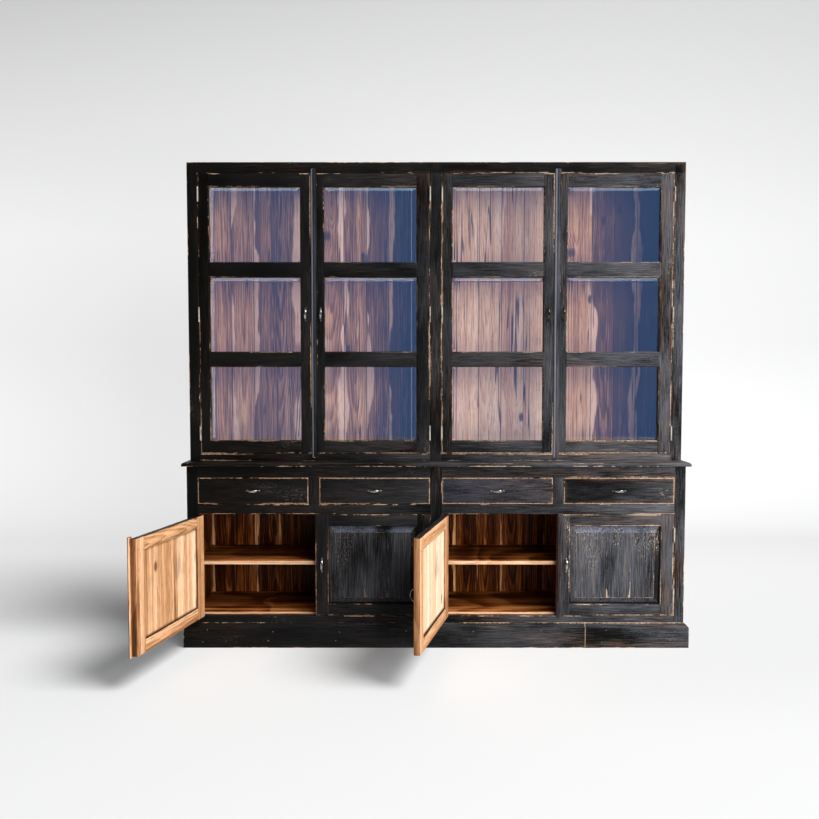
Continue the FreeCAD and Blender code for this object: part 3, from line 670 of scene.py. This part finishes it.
# Back planks
# Twenty upright teak planks of one width close the back of the base, nailed to its sides and floor.
# Each has its own tone and figure, and most keep a pale streak of sapwood along one edge.
plank_count = 20
plank_gap = 0.0005
plank_arris = 0.0015
bay_width = 1.15
plank_wall, given, result = effect(
    "plank wall",
    {"Count": "Int", "Pitch": "Float", "Width": "Float", "Thickness": "Float", "Height": "Float",
     "First": "Vector", "Arris": "Float", "Stain": "Float", "Tone": "Float", "Pale Middle": "Float",
     "Seed": "Int", "Wood": "Material"},
    {"Planks": "Geometry"}, "GeometryNodeTree")
tree = plank_wall


def shape(tree, kind, inputs, **options):
    """What a geometry node makes."""
    return add(tree, f"GeometryNode{kind}", inputs, **options).outputs[0]


def combined(x=0.0, y=0.0, z=0.0):
    """A vector from three numbers."""
    return add(tree_of(x, y, z), "ShaderNodeCombineXYZ", {0: x, 1: y, 2: z}).outputs[0]


def stored(geometry, name, value, domain, kind="FLOAT_VECTOR"):
    """Geometry that carries a value under a name."""
    sockets = {"Geometry": geometry, "Name": name, "Value": value}
    return shape(geometry.id_data, "StoreNamedAttribute", sockets, data_type=kind, domain=domain)


def kept(tree, name):
    """A vector that geometry carries under a name."""
    return shape(tree, "InputNamedAttribute", {"Name": name}, data_type="FLOAT_VECTOR")


def drawn_up(outline, length):
    """An outline drawn straight up to a length, with its ends closed."""
    tree = outline.id_data
    path = shape(tree, "CurvePrimitiveLine", {
        "Direction": (0.0, 0.0, 1.0), "Length": length}, mode="DIRECTION")
    return shape(tree, "CurveToMesh", {"Curve": path, "Profile Curve": outline, "Fill Caps": True})


line = shape(tree, "MeshLine", {
    "Count": given["Count"], "Start Location": given["First"],
    "Offset": combined(given["Pitch"])}, mode="OFFSET")
outline = shape(tree, "CurvePrimitiveQuadrilateral", {
    "Width": given["Width"], "Height": given["Thickness"]})
outline = shape(tree, "FilletCurve", {
    "Curve": outline, "Radius": given["Arris"], "Count": 2}, mode="POLY")
planks = shape(tree, "InstanceOnPoints", {
    "Points": line, "Instance": drawn_up(outline, given["Height"])})
shift = add(tree, "FunctionNodeRandomValue", {
    0: (0.0, 0.0, 0.0), 1: (20.0, 20.0, 20.0), "Seed": given["Seed"]}, data_type="FLOAT_VECTOR").outputs[0]
shift = vectors("ADD", vectors("SNAP", shift, (0.1, 0.1, 0.1)), (0.05, 0.05, 0.05))
tone = add(tree, "FunctionNodeRandomValue", {
    2: 0.0, 3: 0.35, "Seed": plus(given["Seed"], 1.0)}).outputs[1]
tone = plus(tone, given["Tone"])
position = tree.nodes.new("GeometryNodeInputPosition").outputs[0]
aside = minus(split(position)[0], given["Pale Middle"])
pale = below(maths("ABSOLUTE", aside), 0.25, 0.5)
tone = scaled(pale, -1.15, tone)
# Painted shade: planks near the right end of each bay are darker, in the shadow of the partition and the side
bay = maths("FLOORED_MODULO", split(position)[0], bay_width)
tone = scaled(step(bay, 0.75, 1.02), 0.9, tone)
half_height = times(given["Height"], 0.5)
middle = vectors("ADD", position, combined(0.0, 0.0, half_height))
planks = stored(planks, "shift", shift, "INSTANCE")
planks = stored(planks, "middle", middle, "INSTANCE")
planks = stored(planks, "finish", combined(0.0, tone, given["Stain"]), "INSTANCE")
planks = shape(tree, "RealizeInstances", {0: planks})
inside = split(vectors("SUBTRACT", position, kept(tree, "middle")))
place = combined(inside[2], inside[0], inside[1])
halves = [half_height, times(given["Width"], 0.5), times(given["Thickness"], 0.5)]
planks = stored(planks, "place", place, "POINT")
grain = vectors("ADD", place, kept(tree, "shift"))
planks = stored(planks, "grain", grain, "POINT")
planks = stored(planks, "half", combined(*halves), "POINT")
sap = scaled(given["Stain"], -0.55, 1.0)
planks = stored(planks, "sap", sap, "POINT", "FLOAT")
planks = shape(tree, "SetMaterial", {"Geometry": planks, "Material": given["Wood"]})
fill(result, {"Planks": planks})


def made_by(tree, name, values, points=()):
    """A plain mesh object made by a geometry tree from its named inputs, and from points if it needs them."""
    start = bpy.data.meshes.new(f"{name}_start")
    start.from_pydata([tuple(point[0]) for point in points], [], [])
    if points:
        facing = start.attributes.new("facing", "FLOAT_VECTOR", "POINT")
        facing.data.foreach_set("vector", [number for point in points for number in point[1]])
    piece = placed(name, start)
    modifier = piece.modifiers.new(name, "NODES")
    modifier.node_group = tree
    for socket in tree.interface.items_tree:
        if socket.in_out == "INPUT" and socket.name in values:
            modifier[socket.identifier] = values[socket.name]
    graph = bpy.context.evaluated_depsgraph_get()
    mesh = bpy.data.meshes.new_from_object(
        piece.evaluated_get(graph), preserve_all_data_layers=True, depsgraph=graph)
    piece.modifiers.clear()
    piece.data = mesh
    mesh.name = name
    mesh.polygons.foreach_set("use_smooth", [True] * len(mesh.polygons))
    mesh.set_sharp_from_angle(angle=0.6)
    return piece


def plank_back(name, node, tone, stain, pale_middle, seed):
    """The planks of one back, between the ends of its CAD node."""
    low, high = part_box(node)
    pitch = (high.x - low.x + plank_gap) / plank_count
    width = pitch - plank_gap
    thickness = high.y - low.y
    piece = made_by(plank_wall, name, {
        "Count": plank_count, "Pitch": pitch, "Width": width, "Thickness": thickness,
        "Height": high.z - low.z, "First": (low.x + width / 2, low.y + thickness / 2, low.z),
        "Arris": plank_arris, "Stain": stain, "Tone": tone, "Pale Middle": pale_middle, "Seed": seed,
        "Wood": bare_teak})
    hang(piece, node, "cabinet")


# The base's planks are darker, for age and as painted shade inside the base
plank_back("base_planks", "base_back_planks", 0.85, 1.0, 9.0, 3)

# Counter
# One wide painted teak board, nailed down on the base. Its rounded edge overhangs the front and the
# ends, where the paint is rubbed.


def counter_finish(normal, centre, shade):
    """Paint all over, rubbed along the front."""
    return 1.0, 0.0, 0.3


painted_piece("counter_board", "counter", "cabinet", counter_finish)

# Hutch
# A shallower case of teak boards that stands on the counter, painted outside and bare inside. It has
# its own pegged face frame, two shelves on cleats in each bay and a back of nailed planks.


def hutch_finish(normal, centre, shade):
    """Paint on the outer faces of the hutch and bare wood inside it."""
    if on_outside(centre):
        return 1.0, -0.4, 0.25
    return 0.0, 0.5 + 0.3 * shade, 0.9


def hutch_shelf_finish(normal, centre, shade):
    """Bare wood with a pale front edge."""
    return 0.0, (0.1 if normal.y < -0.3 else 0.3 + 0.4 * shade), 0.2


painted_piece("hutch_case", "hutch_carcass", "cabinet", hutch_finish)
painted_piece("hutch_front", "hutch_face_frame", "cabinet", frame_finish)
bare_piece("hutch_shelf_boards", "hutch_shelves", "cabinet", hutch_shelf_finish)
plank_back("hutch_planks", "hutch_back_planks", 0.66, 0.1, 0.38, 8)

# Drawers
# Four flush teak fronts, painted black, on bare teak boxes that slide on the runners. The paint is
# gone from all four edges of each front.


def drawer_finish(normal, centre, shade):
    """Paint on the front, gone from its edges, and bare wood behind."""
    if normal.y > 0.5:
        return 0.0, shade, 0.3
    # Less painted sheen on drawer 4, and a little dust and painted sheen on drawer 3
    return 1.0, (-0.5 if centre.x > 0.6 else 0.12 if centre.x > 0.0 else 0.0), 0.66


def box_finish(normal, centre, shade):
    """Bare wood."""
    return 0.0, 0.2 + 0.4 * shade, 0.2


for number in range(1, 5):
    drawer = f"drawer_{number}"
    painted_piece(f"{drawer}_face", f"{drawer}_front", drawer, drawer_finish)
    bare_piece(f"{drawer}_case", f"{drawer}_box", drawer, box_finish)

# Lower doors
# Framed teak doors with a raised and fielded panel glued up from boards, painted outside, bare inside.
# Two carry a half-round strip over the meeting edge. Doors 1 and 3 stand open.


def door_finish(normal, centre, shade):
    """Paint on the front and the top, bright bare wood inside and dark bare wood on the edges."""
    if normal.y > 0.5:
        return 0.0, 0.15 + 0.35 * shade, 0.0
    if abs(normal.x) > 0.8:
        return 0.0, 0.6, 0.45
    return 1.0, 0.0, 0.28


def panel_finish(normal, centre, shade):
    """Paint on the front, with dust and painted sheen on the upper bevel and painted shade on the right one,
    and bright bare wood inside, painted paler on door 3.
    """
    if normal.y > 0.5:
        # Painted light: door 3's bare panel is painted paler than the others
        return 0.0, (-0.75 if 0 < centre.x < 0.6 else 0.28), 0.0
    if normal.z > 0.1:
        return 1.0, 0.5, 0.3
    if normal.x > 0.1:
        return 1.0, -0.85, 0.3
    return 1.0, 0.0, 0.3


def strip_finish(normal, centre, shade):
    """Paint with dust and painted sheen on the front and the left, a painted highlight on the left of the
    upper strips, painted shade on the right, and bare wood where it meets the door.
    """
    if normal.y > 0.5:
        return 0.0, 0.0, 0.0
    if normal.x > 0.5:
        return 1.0, -0.5, 0.15
    if normal.x < -0.4:
        return 1.0, (1.0 if centre.z > 0.9 else 0.4), 0.1
    return 1.0, 0.12, 0.15


pin_x = {1: -1.1237, 2: -0.0283, 3: 0.0283, 4: 1.1237}
pin_y = {"lower": -0.2047, "upper": -0.1367}
lower_open = {1: 104.0, 3: 105.0}
glued_board = 0.113
turns = {}
for number, door_x in pin_x.items():
    pin = Matrix.Translation((door_x, pin_y["lower"], 0))
    turn = pin @ Matrix.Rotation(math.radians(-lower_open.get(number, 0)), 4, "Z") @ pin.inverted()
    door = f"lower_door_{number}"
    turns[door] = turn
    painted_piece(f"{door}_boards", f"{door}_frame", door, door_finish, turn)
    painted_piece(f"{door}_field", f"{door}_panel", door, panel_finish, turn, along=2,
                  glued=glued_board, crease=0.2)
    if number in (1, 4):
        painted_piece(f"{door}_strip", f"{door}_meeting_strip", door, strip_finish, turn)

# Upper doors
# Framed teak doors with two muntins and three bevelled panes, held by beads from the back. Two carry
# a half-round strip. The old glass is a little wavy.


def glazed_finish(normal, centre, shade):
    """Paint on the front and the edges and bare wood inside."""
    if normal.y > 0.5:
        return 0.0, shade, 0.3
    return 1.0, 0.0, 0.36


for number in range(1, 5):
    door = f"upper_door_{number}"
    turns[door] = Matrix()
    painted_piece(f"{door}_boards", f"{door}_frame", door, glazed_finish)
    if number in (2, 4):
        painted_piece(f"{door}_strip", f"{door}_meeting_strip", door, strip_finish)

glass, tree, shader = finished("bevelled_glass")
fill(shader, {
    "Base Color": (0.98, 0.985, 1.0, 1), "Roughness": 0.0, "IOR": 1.52, "Transmission Weight": 1.0})
waves = noise(location(tree), (7.0, 7.0, 4.0), 1.0)
bumped(shader, waves, 0.15, 0.002)
clear = add(tree, "ShaderNodeBsdfTransparent", {"Color": (0.95, 0.96, 0.98, 1)})
lamp_rays = add(tree, "ShaderNodeLightPath").outputs["Is Shadow Ray"]
panes = add(tree, "ShaderNodeMixShader", {0: lamp_rays, 1: shader.outputs[0], 2: clear.outputs[0]})
tree.links.new(panes.outputs[0], tree.nodes["Material Output"].inputs["Surface"])
for number in range(1, 5):
    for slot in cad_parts[f"upper_door_{number}_glass"].material_slots:
        slot.material = glass

# Pulls
# Bow pulls of satin steel: a bar that is thickest in the middle of its bow, forged flat into an oval
# foot at either end and riveted through the wood. The two on the upper right doors are painted dark, as
# painted shade.
pull_steel, tree, shader = finished("satin_pull_steel")
satin_steel = (0.52, 0.50, 0.47, 1)
tarnished_steel = (0.19, 0.17, 0.15, 1)
shaded_steel = (0.09, 0.075, 0.06, 1)
place = location(tree)
tarnish = noise(place, (90.0, 90.0, 90.0), 3.0, 0.6)
steel = blend(step(tarnish, 0.45, 0.7), satin_steel, tarnished_steel)
# Painted shade: the pulls on the upper right doors are painted darker
sides = split(place)
upper_right_shade = times(step(sides[2], 0.9, 1.0), step(sides[0], -0.2, 0.2))
steel = blend(upper_right_shade, steel, shaded_steel)
fill(shader, {"Base Color": steel, "Metallic": 1.0, "Roughness": scaled(tarnish, 0.3, 0.16)})


def ended(shapes, material, result):
    """Join shapes, make them real and give them their material, as the result of their tree."""
    tree = result.id_data
    joined = tree.nodes.new("GeometryNodeJoinGeometry")
    for part in shapes:
        tree.links.new(part, joined.inputs[0])
    real = shape(tree, "RealizeInstances", {0: joined.outputs[0]})
    fill(result, {0: shape(tree, "SetMaterial", {"Geometry": real, "Material": material})})


bow_pull, given, result = effect(
    "bow pull",
    {"Length": "Float", "Rise": "Float", "Width": "Float", "Bar": "Float", "Foot": "Float",
     "Foot Thickness": "Float", "Steel": "Material"},
    {"Pull": "Geometry"}, "GeometryNodeTree")
tree = bow_pull
foot_middle = times(minus(given["Length"], given["Foot"]), 0.5)
foot_face = times(given["Foot Thickness"], -0.5)
crown = scaled(given["Bar"], 0.5, times(given["Rise"], -1.0))
bow = add(tree, "GeometryNodeCurveArc", {
    "Resolution": 28, "Start": combined(times(foot_middle, -1.0), foot_face),
    "Middle": combined(0.0, crown), "End": combined(foot_middle, foot_face)},
    mode="POINTS").outputs[0]
share = tree.nodes.new("GeometryNodeSplineParameter").outputs["Factor"]
swell = maths("SINE", times(share, math.pi))
swell = scaled(swell, 0.35, 0.65)
oval = shape(tree, "CurvePrimitiveCircle", {"Resolution": 14, "Radius": 0.5})
oval = shape(tree, "Transform", {
    "Geometry": oval, "Scale": combined(given["Bar"], given["Width"], 1.0)})
bar = shape(tree, "CurveToMesh", {
    "Curve": bow, "Profile Curve": oval, "Scale": swell, "Fill Caps": True})
foot = shape(tree, "MeshCone", {
    "Vertices": 20, "Radius Top": 0.36, "Radius Bottom": 0.5, "Depth": given["Foot Thickness"]})
foot = shape(tree, "Transform", {"Geometry": foot, "Rotation": (math.pi / 2, 0.0, 0.0)})
foot_scale = combined(given["Foot"], 1.0, given["Width"])
feet = shape(tree, "MeshLine", {
    "Count": 2, "Start Location": combined(times(foot_middle, -1.0)),
    "Offset": combined(times(foot_middle, 2.0))}, mode="OFFSET")
feet = shape(tree, "InstanceOnPoints", {"Points": feet, "Instance": foot, "Scale": foot_scale})
ended((bar, feet), given["Steel"], result)

bar_thickness = 0.0034
foot_length = 0.012
foot_thickness = 0.0025
pull_bodies = [f"drawer_{number}" for number in range(1, 5)] + list(turns)
for body in pull_bodies:
    node = f"{body}_pull"
    turn = turns.get(body, Matrix())
    low, high = span(closed_corners(node, turn))
    size = high - low
    piece = made_by(bow_pull, f"{body}_bow", {
        "Length": max(size.x, size.z), "Rise": size.y, "Width": min(size.x, size.z), "Bar": bar_thickness,
        "Foot": foot_length, "Foot Thickness": foot_thickness, "Steel": pull_steel})
    upright = Matrix.Rotation(math.radians(90), 4, "Y") if size.z > size.x else Matrix()
    seat = Matrix.Translation(((low.x + high.x) / 2, high.y, (low.z + high.z) / 2))
    piece.data.transform(turn @ seat @ upright)
    hang(piece, node, body)

# Hinges
# Lift-off butt hinges of worn steel: each leaf stands in the gap beside the door, with half of the
# barrel rolled from it, and is screwed to the stile or to the edge of the door.
hinge_steel, tree, shader = finished("worn_hinge_steel")
worn_steel = (0.66, 0.60, 0.50, 1)
stained_steel = (0.22, 0.18, 0.14, 1)
place = location(tree)
tarnish = noise(place, (60.0, 60.0, 40.0), 3.0, 0.6)
steel = blend(step(tarnish, 0.42, 0.7), worn_steel, stained_steel)
fill(shader, {"Base Color": steel, "Metallic": 0.5, "Roughness": scaled(tarnish, 0.3, 0.3)})

hinge_leaf, given, result = effect(
    "hinge leaf",
    {"Points": "Geometry", "Radius": "Float", "Barrel Foot": "Float", "Barrel": "Float", "Leaf": "Float",
     "Thickness": "Float", "Reach": "Float", "Height": "Float", "Steel": "Material"},
    {"Leaves": "Geometry"}, "GeometryNodeTree")
tree = hinge_leaf
facing = kept(tree, "facing")
ring = shape(tree, "CurvePrimitiveCircle", {"Resolution": 16, "Radius": given["Radius"]})
path = shape(tree, "CurvePrimitiveLine", {
    "Direction": (0.0, 0.0, 1.0), "Length": given["Barrel"]}, mode="DIRECTION")
path = shape(tree, "ResampleCurve", {"Curve": path, "Count": 18})
share = tree.nodes.new("GeometryNodeSplineParameter").outputs["Factor"]
ends = maths("ABSOLUTE", scaled(share, 2.0, -1.0))
taper = scaled(maths("POWER", ends, 24.0), -0.22, 1.0)
barrel = shape(tree, "CurveToMesh", {
    "Curve": path, "Profile Curve": ring, "Scale": taper, "Fill Caps": True})
barrels = shape(tree, "SetPosition", {
    "Geometry": given["Points"], "Offset": combined(0.0, 0.0, given["Barrel Foot"])})
barrels = shape(tree, "InstanceOnPoints", {"Points": barrels, "Instance": barrel})
plate = shape(tree, "CurvePrimitiveQuadrilateral", {
    "Width": given["Thickness"], "Height": given["Leaf"]})
plate = drawn_up(plate, given["Height"])
aside = vectors("MULTIPLY", facing, combined(given["Reach"], 1.0, 1.0))
beside = scaled(given["Leaf"], 0.5, given["Radius"])
plates = shape(tree, "SetPosition", {
    "Geometry": given["Points"],
    "Offset": vectors("ADD", aside, combined(0.0, beside))})
plates = shape(tree, "InstanceOnPoints", {"Points": plates, "Instance": plate})
ended((barrels, plates), given["Steel"], result)

hinge_height = 0.07
barrel_gap = 0.0003
hinge_sizes = {
    "Radius": 0.004, "Barrel": (hinge_height - barrel_gap) / 2, "Leaf": 0.0224, "Thickness": 0.0012,
    "Reach": 0.0007, "Height": hinge_height, "Steel": hinge_steel}
hinge_feet = {"lower": (0.2125, 0.5005), "upper": (0.9775, 1.5415, 2.1055)}
frame_points = []
for door, turn in turns.items():
    row = door.split("_")[0]
    number = int(door[-1])
    away = -1.0 if number in (1, 3) else 1.0
    feet = [Vector((pin_x[number], pin_y[row], foot)) for foot in hinge_feet[row]]
    frame_points += [(foot, (away, 0.0, 0.0)) for foot in feet]
    piece = made_by(hinge_leaf, f"{door}_leaves", {
        **hinge_sizes, "Barrel Foot": (hinge_height + barrel_gap) / 2},
        [(foot, (-away, 0.0, 0.0)) for foot in feet])
    piece.data.transform(turn)
    hang(piece, f"{door}_hinge_leaves", door)
piece = made_by(hinge_leaf, "frame_leaves", {**hinge_sizes, "Barrel Foot": 0.0}, frame_points)
hang(piece, "frame_hinge_leaves", "cabinet")

# Nails
# Round steel nail heads left showing along the plinth, down the door stiles inside and across the
# back planks, driven by hand and so not quite in line.
nail_iron, tree, shader = finished("rusted_nail_iron")
grey_iron = (0.26, 0.25, 0.24, 1)
brown_rust = (0.10, 0.055, 0.035, 1)
place = location(tree)
rust = step(noise(place, (70.0, 70.0, 70.0), 2.0), 0.4, 0.65)
iron = blend(rust, grey_iron, brown_rust)
fill(shader, {"Base Color": iron, "Metallic": 1.0, "Roughness": scaled(rust, 0.35, 0.4)})

nail_heads, given, result = effect(
    "nail heads", {"Points": "Geometry", "Radius": "Float", "Steel": "Material"}, {"Nails": "Geometry"},
    "GeometryNodeTree")
tree = nail_heads
dome = add(tree, "GeometryNodeMeshUVSphere", {"Segments": 12, "Rings": 6, "Radius": given["Radius"]})
dome = shape(tree, "Transform", {"Geometry": dome.outputs[0], "Scale": (1.0, 1.0, 0.35)})
upright = add(tree, "FunctionNodeAlignRotationToVector", {
    "Vector": kept(tree, "facing")}, axis="Z").outputs[0]
nails = shape(tree, "InstanceOnPoints", {
    "Points": given["Points"], "Instance": dome, "Rotation": upright})
ended((nails,), given["Steel"], result)

nail_radius = 0.0026
nail_stray = 0.006


def nail_piece(name, body, points, turn=Matrix()):
    """Nail heads at points, each with the way it faces, strayed a little."""
    stray = random.Random(name)
    spots = []
    for place, facing in points:
        aside = Vector([0 if facing[axis] else stray.uniform(-nail_stray, nail_stray) for axis in range(3)])
        spots.append((Vector(place) + aside, facing))
    piece = made_by(nail_heads, name, {"Radius": nail_radius, "Steel": nail_iron}, spots)
    piece.data.transform(turn)
    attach(piece, body)


low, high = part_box("plinth")
nail_pairs = 8
end_inset = 0.09
plinth_nails = []
for index in range(nail_pairs):
    x = low.x + end_inset + index * (high.x - low.x - 2 * end_inset) / (nail_pairs - 1)
    plinth_nails += [((x, low.y, 0.032), (0, -1, 0)), ((x + 0.02, low.y, 0.08), (0, -1, 0))]
nail_piece("plinth_nails", "cabinet", plinth_nails)
for back, rows in (("base", (0.148, 0.395, 0.84)), ("hutch", (0.912, 1.349, 1.773, 2.281))):
    low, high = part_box(f"{back}_back_planks")
    pitch = (high.x - low.x) / plank_count
    points = [((low.x + (index + share) * pitch, high.y, z), (0, 1, 0))
              for index in range(plank_count) for share in (0.25, 0.75) for z in rows]
    nail_piece(f"{back}_plank_nails", "cabinet", points)
stile_nails = 6
end_inset = 0.05
edge_inset = 0.022
for number in pin_x:
    door = f"lower_door_{number}"
    low, high = span(closed_corners(f"{door}_frame", turns[door]))
    pitch = (high.z - low.z - 2 * end_inset) / (stile_nails - 1)
    heights = [low.z + end_inset + index * pitch for index in range(stile_nails)]
    points = [((x, high.y, z), (0, 1, 0)) for x in (low.x + edge_inset, high.x - edge_inset) for z in heights]
    nail_piece(f"{door}_nails", door, points, turns[door])

# Floor, light and camera
# A pale seamless paper sweep, lit by one soft window lamp at the right front and by a broad skylight
# from the upper right. The camera looks straight at the front.
sweep = bpy.data.meshes.new("sweep")
floor_front = -7.0
bend_from = 2.2
bend_radius = 1.6
bend_steps = 12
wall_top = 9.0
half_width = 45.0
profile = [(floor_front, 0.0), (bend_from, 0.0)]
for index in range(1, bend_steps + 1):
    angle = math.radians(index * 90 / bend_steps)
    profile.append((bend_from + bend_radius * math.sin(angle), bend_radius - bend_radius * math.cos(angle)))
profile.append((bend_from + bend_radius, wall_top))
rows = [(x, y, z) for y, z in profile for x in (-half_width, half_width)]
quads = [(2 * row, 2 * row + 1, 2 * row + 3, 2 * row + 2) for row in range(len(profile) - 1)]
sweep.from_pydata(rows, [], quads)
sweep.polygons.foreach_set("use_smooth", [True] * len(quads))
paper, tree, shader = finished("pale_paper")
seen = add(tree, "ShaderNodeLightPath").outputs
by_metal_or_glass = plus(seen["Is Glossy Ray"], seen["Is Transmission Ray"])
looked_at = plus(seen["Is Camera Ray"], by_metal_or_glass, clamp=True)
x, y, z = split(location(tree))
x = maths("MAXIMUM", -6.0, maths("MINIMUM", x, 6.0))
level = split(add(tree, "ShaderNodeNewGeometry").outputs["Normal"])[2]
# The paper glows to stay evenly pale under the lamps, and its glow is painted light and shade: darker towards
# the top of the wall, sloping from side to side, lighter on the floor far back on the right and darker on the
# floor at the front right
glow = scaled(level, -0.42, 0.48)
rise = scaled(z, 0.43, -1.13, clamp=True)
glow = scaled(rise, -0.24, glow)
slope = scaled(level, -0.011, scaled(rise, 0.02, -0.016))
glow = scaled(x, slope, glow)
far = times(step(y, -0.9, 1.4), step(x, -1.2, 0.8))
glow = scaled(times(far, level), 0.15, glow)
near = times(below(y, -2.4, -0.9), step(x, -0.9, 1.4))
glow = scaled(times(near, level), -0.09, glow)
fill(shader, {
    "Base Color": scaled(looked_at, 0.524, 0.1), "Roughness": 0.9, "Specular IOR Level": 0.0,
    "Emission Color": (1.0, 1.0, 1.0, 1), "Emission Strength": times(looked_at, glow)})
sweep.materials.append(paper)
floor = placed("sweep", sweep)

world = bpy.data.worlds.new("studio")
world.use_nodes = True
tree = world.node_tree
light = tree.nodes["Background"]
fill(light, {"Color": (0.93, 0.96, 1.0, 1), "Strength": 0.07})
way = split(add(tree, "ShaderNodeTexCoord").outputs["Generated"])
above = maths("MAXIMUM", step(way[2], 0.235, 0.27), below(way[0], -0.285, -0.262))
deep_sky = (0.31, 0.72, 1.68, 1)
bright_sky = (3.2, 4.6, 6.2, 1)
sky = blend(above, deep_sky, bright_sky)
mirrored = add(tree, "ShaderNodeBackground", {"Color": sky})
in_glass = add(tree, "ShaderNodeLightPath").outputs["Is Singular Ray"]
lit = add(tree, "ShaderNodeMixShader", {0: in_glass, 1: light.outputs[0], 2: mirrored.outputs[0]})
backdrop = add(tree, "ShaderNodeBackground", {"Color": (0.84, 0.84, 0.84, 1)})
looked_at = add(tree, "ShaderNodeLightPath").outputs["Is Camera Ray"]
lit = add(tree, "ShaderNodeMixShader", {0: looked_at, 1: lit.outputs[0], 2: backdrop.outputs[0]})
tree.links.new(lit.outputs[0], tree.nodes["World Output"].inputs["Surface"])
bpy.context.scene.world = world

lamp = bpy.data.lights.new("window_light", "AREA")
lamp.shape = "RECTANGLE"
lamp.size = 4.6
lamp.size_y = 4.0
lamp.energy = 440
lamp.color = (0.98, 0.99, 1.0)
window = placed("window_light", lamp)
window.location = (3.2, -5.2, 1.9)
aim = Vector((0, -0.2, 1.2)) - window.location
window.rotation_euler = aim.to_track_quat("-Z", "Y").to_euler()
window.visible_glossy = False
window.visible_transmission = False

sun = bpy.data.lights.new("skylight", "SUN")
sun.energy = 3.6
sun.angle = math.radians(28)
skylight = placed("skylight", sun)
skylight.rotation_euler = Vector((-0.562, 0.25, -0.788)).to_track_quat("-Z", "Y").to_euler()

camera = bpy.data.cameras.new("camera")
camera.lens = 34.55
camera.sensor_width = 36.0
eye = placed("camera", camera)
eye.location = (-0.1208, -3.8798, 1.3122)
eye.rotation_euler = (math.radians(87.146), 0, math.radians(0.068))
bpy.context.scene.camera = eye
bpy.context.scene.view_settings.view_transform = "Standard"
